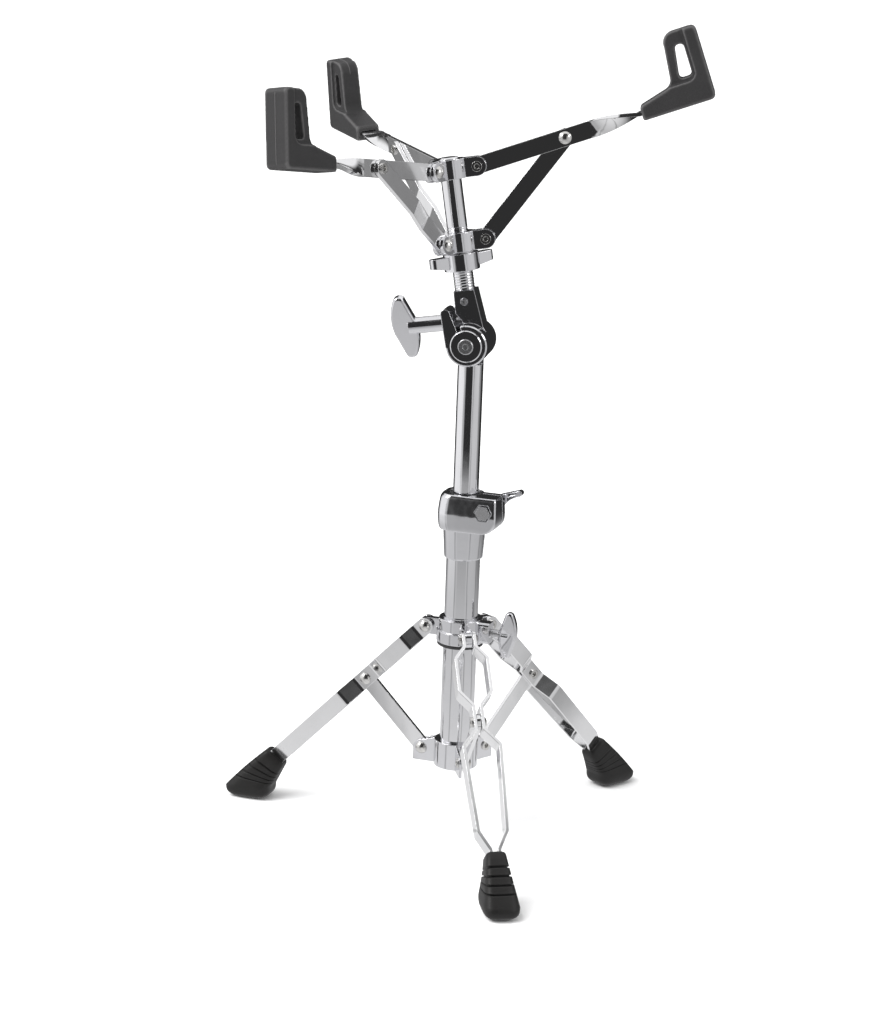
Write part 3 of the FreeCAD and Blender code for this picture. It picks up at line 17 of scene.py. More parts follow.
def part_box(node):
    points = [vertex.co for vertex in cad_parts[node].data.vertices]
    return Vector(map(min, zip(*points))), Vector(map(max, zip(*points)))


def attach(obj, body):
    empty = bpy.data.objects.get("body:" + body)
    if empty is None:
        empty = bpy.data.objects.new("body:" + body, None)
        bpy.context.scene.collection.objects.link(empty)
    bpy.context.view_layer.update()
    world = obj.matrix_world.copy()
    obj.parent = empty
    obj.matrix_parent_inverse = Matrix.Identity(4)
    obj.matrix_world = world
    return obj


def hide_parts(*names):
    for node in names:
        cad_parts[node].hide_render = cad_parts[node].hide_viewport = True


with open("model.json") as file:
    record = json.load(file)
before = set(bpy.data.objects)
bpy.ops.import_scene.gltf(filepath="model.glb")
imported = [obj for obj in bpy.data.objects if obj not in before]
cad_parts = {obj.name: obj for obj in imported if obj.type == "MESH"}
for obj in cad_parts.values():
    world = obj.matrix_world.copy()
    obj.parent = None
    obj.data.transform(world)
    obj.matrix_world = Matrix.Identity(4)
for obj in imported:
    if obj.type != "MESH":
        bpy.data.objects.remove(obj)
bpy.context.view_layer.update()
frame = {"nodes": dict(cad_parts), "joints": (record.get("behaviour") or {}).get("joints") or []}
nodes = frame["nodes"]
joints = {joint["name"]: joint for joint in frame["joints"]}


# %% [markdown]
# ## Writing shader maths as plain expressions
#
# A finish is a small network of nodes. Wiring each sum by hand hides what it does, so one class wraps a
# socket and lets Python's own operators add the Math nodes. Every other node goes through a single method.

# %% A socket that does sums
class Wire:
    """A shader socket that takes part in ordinary arithmetic."""

    def __init__(self, tree, socket):
        self.tree = tree
        self.socket = socket

    @staticmethod
    def make(tree, kind, settings=None, links=None, out=0):
        """Add a node of any kind, set it up, feed its sockets and return one of its outputs."""
        node = tree.nodes.new(kind)
        for key, value in (settings or {}).items():
            if key == "stops":
                for stop, (position, grey) in zip(node.color_ramp.elements, value):
                    stop.position = position
                    stop.color = (grey, grey, grey, 1)
                continue
            setattr(node, key, value)
        for key, value in (links or {}).items():
            if isinstance(value, Wire):
                tree.links.new(value.socket, node.inputs[key])
            else:
                node.inputs[key].default_value = value
        return Wire(tree, node.outputs[out])

    def sum(self, operation, first, second):
        return Wire.make(self.tree, "ShaderNodeMath", {"operation": operation}, {0: first, 1: second})

    def __add__(self, other):
        return self.sum("ADD", self, other)

    def __radd__(self, other):
        return self.sum("ADD", other, self)

    def __sub__(self, other):
        return self.sum("SUBTRACT", self, other)

    def __rsub__(self, other):
        return self.sum("SUBTRACT", other, self)

    def __mul__(self, other):
        return self.sum("MULTIPLY", self, other)

    def __rmul__(self, other):
        return self.sum("MULTIPLY", other, self)

    def __pow__(self, other):
        return self.sum("POWER", self, other)


# %% [markdown]
# ## Starting a finish
#
# Each finish begins with the same three things: a new material, its Principled shader, and the position on
# the object in metres. The CAD nodes sit at the origin and keep their place in the mesh, so object
# coordinates are real sizes, and a grain of half a millimetre is written as such.

# %% A finish, its noise and its colours
# A Mix node has sockets for each kind of data, and these are the places of its colours.
MIX_FIRST = 6
MIX_SECOND = 7
MIX_RESULT = 2


def new_finish(name, metallic, colour, roughness):
    material = bpy.data.materials.new(name)
    material.use_nodes = True
    tree = material.node_tree
    shader = tree.nodes["Principled BSDF"]
    shader.inputs["Metallic"].default_value = metallic
    shader.inputs["Base Color"].default_value = colour + (1,)
    shader.inputs["Roughness"].default_value = roughness
    place = Wire.make(tree, "ShaderNodeTexCoord", out="Object")
    return material, tree, shader, place


def noise(tree, place, grain, detail=2.0, rough=0.5):
    """Soft noise from 0 to 1 whose blobs are about one grain across, in metres."""
    return Wire.make(tree, "ShaderNodeTexNoise", None,
                     {"Vector": place, "Scale": 1 / grain, "Detail": detail, "Roughness": rough})


def scaled(colour, factor, lift=0.0):
    """A colour made darker or lighter."""
    return tuple(part * factor + lift for part in colour)


def tint(tree, amount, dark, light):
    """A colour between two, by an amount from 0 to 1."""
    first, second = [part if isinstance(part, Wire) else part + (1,) for part in (dark, light)]
    return Wire.make(tree, "ShaderNodeMix", {"data_type": "RGBA"},
                     {"Factor": amount, MIX_FIRST: first, MIX_SECOND: second}, out=MIX_RESULT)


def feed(tree, shader, **wires):
    """Join wires to the shader's sockets, with _ for the space in a socket's name."""
    for key, wire in wires.items():
        tree.links.new(wire.socket, shader.inputs[key.replace("_", " ")])


# %% [markdown]
# ## Edges, hollows and relief
#
# Where a surface stands out, use polishes it and a highlight is painted into its colour, and shade is painted
# where it is hollow. Both could be painted by hand, but the renderer can measure them: a bevel node tells
# edges from faces, pointiness tells bulges from flats on a fine mesh, and ambient occlusion finds the
# grooves.

# %% Masks that follow the shape
RAY_SAMPLES = 6
EDGE_RANGE = (0.01, 0.16)
BULGE_RANGE = (0.502, 0.535)


def soft(tree, value, start, end):
    """0 before start, 1 after end, and a smooth step between them."""
    return Wire.make(tree, "ShaderNodeMapRange", {"interpolation_type": "SMOOTHSTEP"},
                     {"Value": value, "From Min": start, "From Max": end})


def bevel(tree, radius):
    """The surface's direction, as if its edges were rounded."""
    return Wire.make(tree, "ShaderNodeBevel", {"samples": RAY_SAMPLES}, {"Radius": radius})


# This mask paints a highlight into the colour along edges, and also lowers the roughness there as real
# polish.
def edge_highlight_mask(tree, radius):
    """About 1 along edges and corners, and 0 on flat faces."""
    flat = Wire.make(tree, "ShaderNodeNewGeometry", out="Normal")
    same = Wire.make(tree, "ShaderNodeVectorMath", {"operation": "DOT_PRODUCT"},
                     {0: bevel(tree, radius), 1: flat}, out="Value")
    return soft(tree, 1.0 - same, *EDGE_RANGE)


# This mask paints a highlight into the colour on bulges, and also lowers the roughness there as real polish.
def bulge_highlight_mask(tree):
    """About 1 where a finely meshed surface bulges, and 0 where it is flat or hollow."""
    bulge = Wire.make(tree, "ShaderNodeNewGeometry", out="Pointiness")
    return soft(tree, bulge, *BULGE_RANGE)


# This mask is used to paint shade into the colour of grooves and corners.
def hollow_shade_mask(tree, distance):
    """1 on open faces, and less in grooves and corners narrower than a distance."""
    return Wire.make(tree, "ShaderNodeAmbientOcclusion", {"samples": RAY_SAMPLES, "only_local": True},
                     {"Distance": distance}, out="AO")


def relief(tree, height, strength, distance, edge):
    """A bump from a height, as deep as the distance says, over edges rounded by a small radius."""
    return Wire.make(tree, "ShaderNodeBump", None,
                     {"Height": height, "Strength": strength, "Distance": distance,
                      "Normal": bevel(tree, edge)})


# %% [markdown]
# ## Chrome plate
#
# Plating on drawn tube and on stamped strap is a mirror with a very slight wave, and it carries the dust and
# finger marks of use. The wave bends the reflections a little, and the marks make some patches less sharp.
# Both are kept small, because strong noise looks like hammered tin.

# %% Chrome on tubes, straps and castings
MARK_SIZE = 0.018
MARK_DETAIL = 5.0
MARK_ROUGHNESS = 0.6
SMEAR_STOPS = ((0.48, 0.0), (0.78, 1.0))
SMEAR_HAZE = 0.07
SMEAR_SHARE = 0.6
SMEAR_SHADE = 0.94
DUST_SIZE = 0.0012
DUST_HAZE = 0.015
WAVE_DETAIL = 1.0
WAVE_STRENGTH = 0.35


def chrome(name, wave_size, wave_depth, colour, haze, edge):
    """A mirror with a slight wave, a little dust and a few smears."""
    material, tree, shader, place = new_finish(name, metallic=1.0, colour=colour, roughness=haze)
    marks = noise(tree, place, MARK_SIZE, MARK_DETAIL, MARK_ROUGHNESS)
    dust = noise(tree, place, DUST_SIZE)
    smear = Wire.make(tree, "ShaderNodeValToRGB", {"stops": SMEAR_STOPS}, {"Fac": marks})
    wave = noise(tree, place, wave_size, WAVE_DETAIL)
    feed(tree, shader,
         Roughness=haze + smear * SMEAR_HAZE + dust * DUST_HAZE,
         Base_Color=tint(tree, smear * SMEAR_SHARE, colour, scaled(colour, SMEAR_SHADE)),
         Normal=relief(tree, wave, WAVE_STRENGTH, wave_depth, edge))
    return material


plate = chrome("chrome_plate", wave_size=0.022, wave_depth=0.00012, colour=(0.80, 0.80, 0.815),
               haze=0.045, edge=0.0005)
strap_plate = chrome("strap_chrome", wave_size=0.014, wave_depth=0.00016, colour=(0.88, 0.88, 0.885),
                     haze=0.07, edge=0.0005)
cast_plate = chrome("cast_chrome", wave_size=0.009, wave_depth=0.00022, colour=(0.78, 0.78, 0.80),
                    haze=0.06, edge=0.0009)
print("chrome finishes:", plate.name, strap_plate.name, cast_plate.name)


# %% [markdown]
# ## Satin steel
#
# The rivets are turned steel with a dull plating. Their heads are too small for a clear picture of the room,
# so a rougher metal with fine turning marks is right.

# %% Rivets and screws
TURNING_SIZE = 0.0006
TURNING_DETAIL = 3.0
TURNING_HAZE = 0.08
TURNING_STRENGTH = 0.25
TURNING_DEPTH = 0.00004
STEEL_PATCH = 0.004
STEEL_SHADE = 0.86
STEEL_EDGE = 0.0006


def satin(name, colour, haze):
    """A dull metal with fine turning marks."""
    material, tree, shader, place = new_finish(name, metallic=1.0, colour=colour, roughness=haze)
    marks = noise(tree, place, TURNING_SIZE, TURNING_DETAIL)
    wear_and_highlight = noise(tree, place, STEEL_PATCH)
    feed(tree, shader,
         Roughness=haze + marks * TURNING_HAZE,
         Base_Color=tint(tree, wear_and_highlight, scaled(colour, STEEL_SHADE), colour),
         Normal=relief(tree, marks, TURNING_STRENGTH, TURNING_DEPTH, STEEL_EDGE))
    return material


rivet_steel = satin("satin_steel", colour=(0.78, 0.77, 0.75), haze=0.15)
screw_steel = satin("screw_steel", colour=(0.62, 0.62, 0.63), haze=0.24)
print("steel finishes:", rivet_steel.name, screw_steel.name)


# %% [markdown]
# ## Rubber and plastic
#
# The claws are moulded in a dark grey rubber with a fine matt grain. The feet are blacker and a little
# glossier, because handling polishes their ribs. The liner and the bush are plain black plastic.

# %% Claws, feet and bushes
SPECK_DETAIL = 4.0
SPECK_ROUGHNESS = 0.65
SPECK_TINT = 0.35
SPECK_HAZE = 0.06
BLOOM_SIZE = 0.02
BLOOM_DETAIL = 3.0
BLOOM_TINT = 0.25
BLOOM_HAZE = 0.16
BLOOM_RELIEF = 0.3
GRAIN_STRENGTH = 0.5
LIGHT_SHADE = 2.6
LIGHT_LIFT = 0.008
DARK_SHADE = 0.15
HIGHLIGHT_RADIUS = 0.0026
WORN_POLISH = 0.1
SHADE_REACH = 0.004
SHADE_POWER = 1.6
RUBBER_GLOSS = 0.35
BLACK_PLASTIC = (0.012, 0.012, 0.013)


def rubber(name, colour, haze, grain, depth, edge, highlight_colour, fine_skin=False):
    """A grained matt rubber, with shade painted into its hollows and a highlight painted along its edges,
    which are also polished.
    """
    material, tree, shader, place = new_finish(name, metallic=0.0, colour=colour, roughness=haze)
    speck = noise(tree, place, grain, SPECK_DETAIL, SPECK_ROUGHNESS)
    bloom = noise(tree, place, BLOOM_SIZE, BLOOM_DETAIL)
    # A highlight is painted into the colour along edges, and the same mask polishes them in the roughness.
    wear_and_highlight = bulge_highlight_mask(tree) if fine_skin else edge_highlight_mask(tree, HIGHLIGHT_RADIUS)
    light = scaled(colour, LIGHT_SHADE, LIGHT_LIFT)
    faces = tint(tree, bloom * BLOOM_TINT + speck * SPECK_TINT, colour, light)
    # Shade is painted into grooves and corners: there the colour darkens towards the dark shade colour.
    unshaded = hollow_shade_mask(tree, SHADE_REACH) ** SHADE_POWER
    feed(tree, shader,
         Base_Color=tint(tree, unshaded, scaled(colour, DARK_SHADE), tint(tree, wear_and_highlight, faces, highlight_colour)),
         Roughness=haze + (bloom - 0.5) * BLOOM_HAZE + speck * SPECK_HAZE - wear_and_highlight * WORN_POLISH,
         Normal=relief(tree, speck + bloom * BLOOM_RELIEF, GRAIN_STRENGTH, depth, edge))
    shader.inputs["Specular IOR Level"].default_value = RUBBER_GLOSS
    return material


# The lighter colour given for each finish's edges is a painted highlight.
claw_rubber = rubber("claw_rubber", colour=(0.015, 0.0145, 0.015), haze=0.52, grain=0.0009, depth=0.0004,
                     edge=0.0008, highlight_colour=(0.078, 0.076, 0.077), fine_skin=True)
foot_rubber = rubber("foot_rubber", colour=(0.0045, 0.0042, 0.004), haze=0.45, grain=0.0012, depth=0.00014,
                     edge=0.0003, highlight_colour=(0.016, 0.0155, 0.015))
dark_plastic = rubber("dark_plastic", colour=BLACK_PLASTIC, haze=0.50, grain=0.0011, depth=0.00003,
                      edge=0.0003, highlight_colour=(0.03, 0.03, 0.03))
print("rubber and plastic finishes:", claw_rubber.name, foot_rubber.name, dark_plastic.name)

# %% [markdown]
# ## The liner
#
# The sliding ring has a plastic liner, black inside the ring. Its rim above the ring shows bright, like the
# plated metal round it. One solid carries both looks, so the height on the part chooses between them.

# %% The liner, black inside the ring and bright on its rim
RIM_START = 0.0012
RIM_END = 0.0008
RIM_COLOUR = (0.76, 0.76, 0.78)
RIM_POLISH = 0.36
LINER_HAZE = 0.45
LINER_GRAIN = 0.003
LINER_SPECKLE = 0.05
liner_plastic, tree, shader, place = new_finish("liner_plastic", metallic=0.0, colour=BLACK_PLASTIC,
                                                roughness=LINER_HAZE)
height = Wire.make(tree, "ShaderNodeSeparateXYZ", None, {"Vector": place}, out="Z")
ring_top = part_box("upper_collar")[1][2]
rim = soft(tree, height, ring_top - RIM_START, ring_top - RIM_END)
feed(tree, shader,
     Metallic=rim,
     Base_Color=tint(tree, rim, BLACK_PLASTIC, RIM_COLOUR),
     Roughness=LINER_HAZE - RIM_POLISH * rim + LINER_SPECKLE * noise(tree, place, LINER_GRAIN))
print("liner rim starts at", round(ring_top, 4))

# %% [markdown]
# ## Which piece gets which finish
#
# On the real stand each piece is plated or moulded before it is put together, so each node has one finish.
# The nodes are named for what they are, and the name is enough to choose it.

# %% Put each finish on its nodes
CASTINGS = ("clamp_body", "clamp_lever", "tilter_upper", "tilter_lower", "upper_hub", "lower_hub",
            "basket_nut", "upper_collar", "lower_collar", "tilter_wing", "collar_wing")
SCREWS = ("clamp_bolt", "set_screw", "tilter_screw", "collar_screw", "tilter_stud", "thrust_washer")
STRAPS = ("leg_strap", "stay_", "strut_", "arm_bar")


def finish_for(name):
    if name.startswith("claw"):
        return claw_rubber
    if name.startswith("foot"):
        return foot_rubber
    if name == "collar_liner":
        return liner_plastic
    if name == "tube_bush":
        return dark_plastic
    if "rivet" in name:
        return rivet_steel
    if name in SCREWS:
        return screw_steel
    if name in CASTINGS:
        return cast_plate
    return strap_plate if name.startswith(STRAPS) else plate


used = {}
for name, node in nodes.items():
    finish = finish_for(name)
    node.data.materials.clear()
    node.data.materials.append(finish)
    used[finish.name] = used.get(finish.name, 0) + 1
print("finishes in use:", used)

# %% [markdown]
# ## Soft corners on the claws
#
# Moulded rubber has no sharp corners. A fine voxel skin over each claw, relaxed a few times, rounds every
# edge by a few voxels. It runs as modifiers, so the solid underneath keeps its own shape.

# %% Round the claws
VOXEL = 0.0007
PASSES = 9
RELAX = 0.5
ARM_NAMES = ("right", "back", "left")
for name in ARM_NAMES:
    skin = nodes["claw_" + name].modifiers.new("skin", "REMESH")
    skin.mode = "VOXEL"
    skin.voxel_size = VOXEL
    skin.use_smooth_shade = True
    relax = nodes["claw_" + name].modifiers.new("relax", "SMOOTH")
    relax.factor = RELAX
    relax.iterations = PASSES
print("claws rounded with voxels of", VOXEL, "m")


# %% [markdown]
# ## Meshes from rings
#
# The boots, the parting lines and the threads are all long forms whose section changes along the way. They
# could be three kinds of modelling, but one function covers them: it takes rings of points, joins each ring
# to the next with quads and closes both ends.

# %% A skin over rings of points
def join_rings(mesh, rings, closed=False):
    """Add rings of points, each joined to the next with quads, and the last to the first if closed."""
    rows = [[mesh.verts.new(point) for point in ring] for ring in rings]
    following = rows[1:] + rows[:1] if closed else rows[1:]
    for low, high in zip(rows, following):
        for step in range(len(low)):
            after = (step + 1) % len(low)
            mesh.faces.new((low[step], low[after], high[after], high[step]))
    return rows


def mesh_piece(name, mesh, material):
    data = bpy.data.meshes.new(name)
    mesh.to_mesh(data)
    mesh.free()
    data.materials.append(material)
    piece = bpy.data.objects.new(name, data)
    bpy.context.collection.objects.link(piece)
    return piece


def skin_over(name, rings, material, body):
    mesh = bmesh.new()
    rows = join_rings(mesh, rings)
    mesh.faces.new(rows[0][::-1])
    mesh.faces.new(rows[-1])
    bmesh.ops.recalc_face_normals(mesh, faces=mesh.faces)
    piece = mesh_piece(name, mesh, material)
    for face in piece.data.polygons:
        face.use_smooth = len(face.vertices) == 4
    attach(piece, body)
    return piece


# %% [markdown]
# ## Rubber boots
#
# Each leg ends in a moulded boot: narrow where the straps go in, wide and round at the floor, with grooves
# that fan out towards the toe. Modelling that from a box takes many loops. A loft is simpler: each ring is a
# rounded section between a point on the inner edge and a point on the outer edge, and a groove is a few
# rings drawn in.

# %% The boot's section
# Points on the inner and outer edges of the boot, as distance out along the leg and height.
TOP_INNER = Vector((-0.0060, 0.0316))
TOP_OUTER = Vector((0.0085, 0.0418))
HEEL = Vector((0.0045, 0.0110))
TOE = Vector((0.0420, 0.0085))
TOP_WIDTH = 0.0145
SOLE_WIDTH = 0.0268
OUTER_BULGE = 0.0012
INNER_LEAD = 0.6
TOP_CORNERS = 4.6
SOLE_CORNERS = 3.8
SOLE_EDGE = 3.0
BOOT_POINTS = 56


def angles(count):
    """Angles at equal steps round a full turn."""
    return [2 * math.pi * step / count for step in range(count)]


def rounded(angle, corners):
    """A point on a rounded square of half size 1. More corners means a squarer shape."""
    return [math.copysign(abs(part) ** (2 / corners), part) for part in (math.cos(angle), math.sin(angle))]


def boot_ring(part, draw_in, sole):
    """Points out along the leg, across it and up, part of the way from top to toe and under the sole."""
    inner = TOP_INNER.lerp(HEEL, part ** INNER_LEAD)
    outer = TOP_OUTER.lerp(TOE, part) + Vector((OUTER_BULGE * math.sin(math.pi * part), 0))
    middle = (inner + outer) / 2
    along = (outer - inner).normalized()
    half_length = (outer - inner).length / 2 - draw_in
    half_width = (TOP_WIDTH + (SOLE_WIDTH - TOP_WIDTH) * part) / 2 - draw_in
    shrink, drop = rounded(sole * math.pi / 2, SOLE_EDGE)
    corners = TOP_CORNERS + (SOLE_CORNERS - TOP_CORNERS) * part
    ring = []
    for angle in angles(BOOT_POINTS):
        lengthways, sideways = rounded(angle, corners)
        place = middle + along * half_length * shrink * lengthways
        ring.append((place.x, half_width * shrink * sideways, place.y * (1 - drop)))
    return ring


# %% [markdown]
# ## The boot's rings
#
# The mould makes a small round at the top, four grooves and a round under the sole. Each ring is listed by
# how far down it is and how far it is drawn in, so a groove is only six short rows.

# %% Rings from the top to the sole
# Each row is a part of the way from top to toe, and how far the ring is drawn in.
TOP_ROWS = ((0.0, 0.0020), (0.012, 0.0007), (0.04, 0), (0.13, 0))
TOE_ROWS = ((0.82, 0), (0.92, 0))
FIRST_GROOVE = 0.25
GROOVE_PITCH = 0.153
GROOVE_COUNT = 4
GROOVE_HALF = 0.017
GROOVE_DEPTH = 0.0014
# A groove's rows are offsets in half widths, and shares of its depth.
GROOVE_SHAPE = ((-2.0, 0), (-1.1, 0), (-0.7, 1), (0.7, 1), (1.1, 0), (2.0, 0))
SOLE_STEPS = 9

rows = list(TOP_ROWS)
for count in range(GROOVE_COUNT):
    groove = FIRST_GROOVE + GROOVE_PITCH * count
    rows += [(groove + offset * GROOVE_HALF, depth * GROOVE_DEPTH) for offset, depth in GROOVE_SHAPE]
rows += TOE_ROWS
boot_rings = [boot_ring(part, draw_in, 0) for part, draw_in in rows]
boot_rings += [boot_ring(1, 0, step / SOLE_STEPS) for step in range(SOLE_STEPS)]
print("rings in a boot:", len(boot_rings))

# %% Boots on the three legs
UP = Vector((0, 0, 1))
entry = -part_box("foot_front")[0][1] - TOE.x
for name in ("front", "right", "left"):
    hinge = joints["leg_fold_" + name]
    across = Vector(hinge["axis"])
    out = across.cross(UP)
    if out.dot(Vector(hinge["pos_m"])) < 0:
        out = -out
    rings = []
    for ring in boot_rings:
        rings.append([out * (entry + run) + across * side + UP * rise for run, side, rise in ring])
    boot = skin_over("boot_" + name, rings, foot_rubber, "leg_" + name)
    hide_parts("foot_" + name)
    print(boot.name, "faces", len(boot.data.polygons))

# %% [markdown]
# ## Parting lines
#
# The claws are moulded in two halves, and the mould leaves a thin ridge round the middle of each. It is a
# small tube that follows the claw's outline, half sunk in the rubber. The outline is given in the arm's own
# axes: along the arm from its pivot, and square to it.

# %% The outline of a claw
ARC_STEPS = 6
CLAW_BACK = 0.1775
CLAW_LOW = -0.0053
CLAW_HIGH = 0.0487
BACK_ROUND = 0.0050
NOSE = 0.1525
NOSE_ROUND = 0.0085
SINK = 0.00012


def quarter(centre, radius, first):
    """Points on a quarter of a circle, with the outward direction at each."""
    points = []
    for step in range(ARC_STEPS + 1):
        angle = first + math.pi / 2 * step / ARC_STEPS
        outward = Vector((math.cos(angle), math.sin(angle)))
        points.append((Vector(centre) + outward * (radius - SINK), outward))
    return points


outline = quarter((CLAW_BACK - BACK_ROUND, CLAW_LOW + BACK_ROUND), BACK_ROUND, -math.pi / 2)
outline += quarter((CLAW_BACK - BACK_ROUND, CLAW_HIGH - BACK_ROUND), BACK_ROUND, 0)
outline += quarter((NOSE + NOSE_ROUND, CLAW_HIGH - NOSE_ROUND), NOSE_ROUND, math.pi / 2)
print("points along a parting line:", len(outline))

# %% Ridges round the claws
RIDGE = 0.00042
RIDGE_POINTS = 8
for name in ARM_NAMES:
    hinge = joints["arm_fold_" + name]
    pivot = Vector(hinge["pos_m"])
    across = Vector(hinge["axis"])
    low, high = [Vector(corner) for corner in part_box("arm_rivet_" + name)]
    along = (low + high) / 2 - pivot
    along = (along - across * along.dot(across)).normalized()
    upright = along.cross(across)
    if upright.z < 0:
        upright = -upright
    rings = []
    for place, outward in outline:
        middle = pivot + along * place.x + upright * place.y
        lift = along * outward.x + upright * outward.y
        rings.append([middle + lift * RIDGE * math.cos(angle) + across * RIDGE * math.sin(angle)
                      for angle in angles(RIDGE_POINTS)])
    ridge = skin_over("claw_ridge_" + name, rings, claw_rubber, "arm_" + name)
    print(ridge.name, "faces", len(ridge.data.polygons))

# %% [markdown]
# ## The liner's lip
#
# The sliding ring runs on a plastic liner, whose lip shows as a dark band under the ring. A short ring with
# rounded edges, wider than the liner itself, is all that it needs.

# %% A dark lip under the sliding ring
LIP_INNER = 0.0157
LIP_OUTER = 0.0174
LIP_HEIGHT = 0.0020
LIP_ROUND = 0.0005
LIP_SIDES = 72
ring_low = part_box("upper_collar")[0][2]
section = ((LIP_INNER, 0), (LIP_OUTER, 0), (LIP_OUTER, LIP_ROUND - LIP_HEIGHT),
           (LIP_OUTER - LIP_ROUND, -LIP_HEIGHT), (LIP_INNER, -LIP_HEIGHT))
rings = []
for angle in angles(LIP_SIDES):
    rings.append([(radius * math.cos(angle), radius * math.sin(angle), ring_low + rise)
                  for radius, rise in section])
mesh = bmesh.new()
join_rings(mesh, rings, closed=True)
bmesh.ops.recalc_face_normals(mesh, faces=mesh.faces)
liner_lip = mesh_piece("liner_lip", mesh, dark_plastic)
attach(liner_lip, "collar")
print("liner lip faces:", len(liner_lip.data.polygons))

# %% [markdown]
# ## Screw threads
#
# The rod of the basket and the wing bolt are threaded. A thread is a radius that rises and falls along the
# axis and turns once for each pitch, so a grid of points wrapped round the axis gives a true helix with no
# modelling by hand.

# %% Threads on the basket rod and the wing bolt
AROUND = 40
STEPS_PER_PITCH = 6
FLANK = 1.4
ROD_START = 0.0392
BOLT_START = 0.0003


def thread(name, start, direction, length, crest, root, pitch, body, material):
    """A helical ridge round an axis, closed at both ends."""
    facing = UP.rotation_difference(direction).to_matrix().to_4x4()
    place = Matrix.Translation(start) @ facing
    count = int(length / pitch * STEPS_PER_PITCH)
    rings = []
    for ring in range(count + 1):
        along = length * ring / count
        points = []
        for step, angle in enumerate(angles(AROUND)):
            phase = (along / pitch - step / AROUND) % 1
            ridge = 1 - abs(2 * phase - 1)
            radius = root + (crest - root) * min(1, FLANK * ridge)
            points.append(place @ Vector((radius * math.cos(angle), radius * math.sin(angle), along)))
        rings.append(points)
    return skin_over(name, rings, material, body)


rod_axis = Vector(joints["hub_slide"]["axis"])
tilter_centre = Vector(joints["tilt"]["pos_m"])
rod_thread = thread("rod_thread", tilter_centre + rod_axis * ROD_START, rod_axis, length=0.0456,
                    crest=0.0075, root=0.00714, pitch=0.002, body="head", material=plate)
bolt_axis = Vector(joints["collar_wing_turn"]["axis"])
bolt_place = Vector(joints["collar_wing_turn"]["pos_m"])
bolt_thread = thread("wing_bolt_thread", bolt_place + bolt_axis * BOLT_START, bolt_axis, length=0.0066,
                     crest=0.003, root=0.00263, pitch=0.001, body="collar_handle", material=screw_steel)
print("threads:", len(rod_thread.data.polygons), len(bolt_thread.data.polygons))

# %% [markdown]
# ## The studio
#
# A stand like this is photographed on white paper. The camera and the shadows need only a large sheet and
# white air, so the floor is one flat face with almost no colour change.

# %% Paper floor and white air
FLOOR_SIZE = 30.0
AIR_STRENGTH = 0.8
PAPER_GRAIN = 0.5
PAPER_ROUGHNESS = 0.9
PAPER = (0.92, 0.92, 0.92)
PAPER_DARK = (0.91, 0.91, 0.912)
PAPER_LIGHT = (0.93, 0.93, 0.93)

scene = bpy.context.scene
scene.view_settings.view_transform = "Standard"
world = bpy.data.worlds.new("studio")
scene.world = world
world.use_nodes = True
world.node_tree.nodes["Background"].inputs["Color"].default_value = (1.0, 1.0, 1.0, 1)
world.node_tree.nodes["Background"].inputs["Strength"].default_value = AIR_STRENGTH


def stage_piece(name, mesh, material):
    piece = mesh_piece(name, mesh, material)
    return piece


paper, tree, shader, place = new_finish("floor_paper", metallic=0.0, colour=PAPER,
                                        roughness=PAPER_ROUGHNESS)
feed(tree, shader, Base_Color=tint(tree, noise(tree, place, PAPER_GRAIN), PAPER_DARK, PAPER_LIGHT))
shader.inputs["Specular IOR Level"].default_value = 0.0
mesh = bmesh.new()
bmesh.ops.create_grid(mesh, x_segments=1, y_segments=1, size=FLOOR_SIZE / 2)
stage_piece("floor", mesh, paper)
print("floor of", FLOOR_SIZE, "m")

# %% [markdown]
# ## A room for the chrome
#
# Chrome shows the room, so the room is painted for it. Only reflections see it: bright on the left, grey on
# the right, dark behind the camera and low behind the stand, with a large soft light overhead. The paper is
# bright near the stand and falls off with distance. Real panels would do it too, but one painted wall lets
# each edge be as soft as it should be.

# %% The low part of the room: paper and side panels
# Each panel fades in and out between two angles, in degrees from the camera's side.
LEFT_START = (-140, -112)
LEFT_END = (-54, -34)
RIGHT_START = (20, 24)
RIGHT_END = (84, 126)
LEFT_LEVEL = 0.82
LEFT_CLOUD = 0.3
RIGHT_LEVEL = 0.42
RIGHT_CLOUD = 0.36
DARK_LEVEL = 0.03
CLOUD_SIZE = 1.3
PAPER_BRIGHT = 0.88
PAPER_FALL = 0.6
PAPER_LEAST = 0.42
PAPER_SPREAD = (0.25, 1.2)
PAPER_EDGE = (1.12, 1.2)
DEGREES_IN_RADIAN = 57.2958


def band(tree, value, start, end):
    """1 between two soft edges, and 0 outside them."""
    return soft(tree, value, *start) - soft(tree, value, *end)


room_paint, tree, shader, place = new_finish("room_paint", metallic=0.0, colour=(0, 0, 0), roughness=0.5)
shader.inputs["Specular IOR Level"].default_value = 0.0
shader.inputs["Emission Strength"].default_value = 1.0
sideways, away, height = [Wire.make(tree, "ShaderNodeSeparateXYZ", None, {"Vector": place}, out=axis)
                          for axis in "XYZ"]
reach = (sideways * sideways + away * away) ** 0.5
turn = sideways.sum("ARCTAN2", sideways, away * -1.0) * DEGREES_IN_RADIAN
cloudy = noise(tree, place, CLOUD_SIZE)
left_panel = band(tree, turn, LEFT_START, LEFT_END) * (LEFT_LEVEL + LEFT_CLOUD * cloudy)
right_panel = band(tree, turn, RIGHT_START, RIGHT_END) * (RIGHT_LEVEL + RIGHT_CLOUD * cloudy)
sides = left_panel + right_panel + DARK_LEVEL
falling = PAPER_BRIGHT - PAPER_FALL * reach
near_paper = falling.sum("MAXIMUM", falling, PAPER_LEAST)
spread = soft(tree, reach, *PAPER_SPREAD)
front_panel = band(tree, turn, LEFT_END, RIGHT_START) * (1.0 - soft(tree, reach, *PAPER_EDGE))
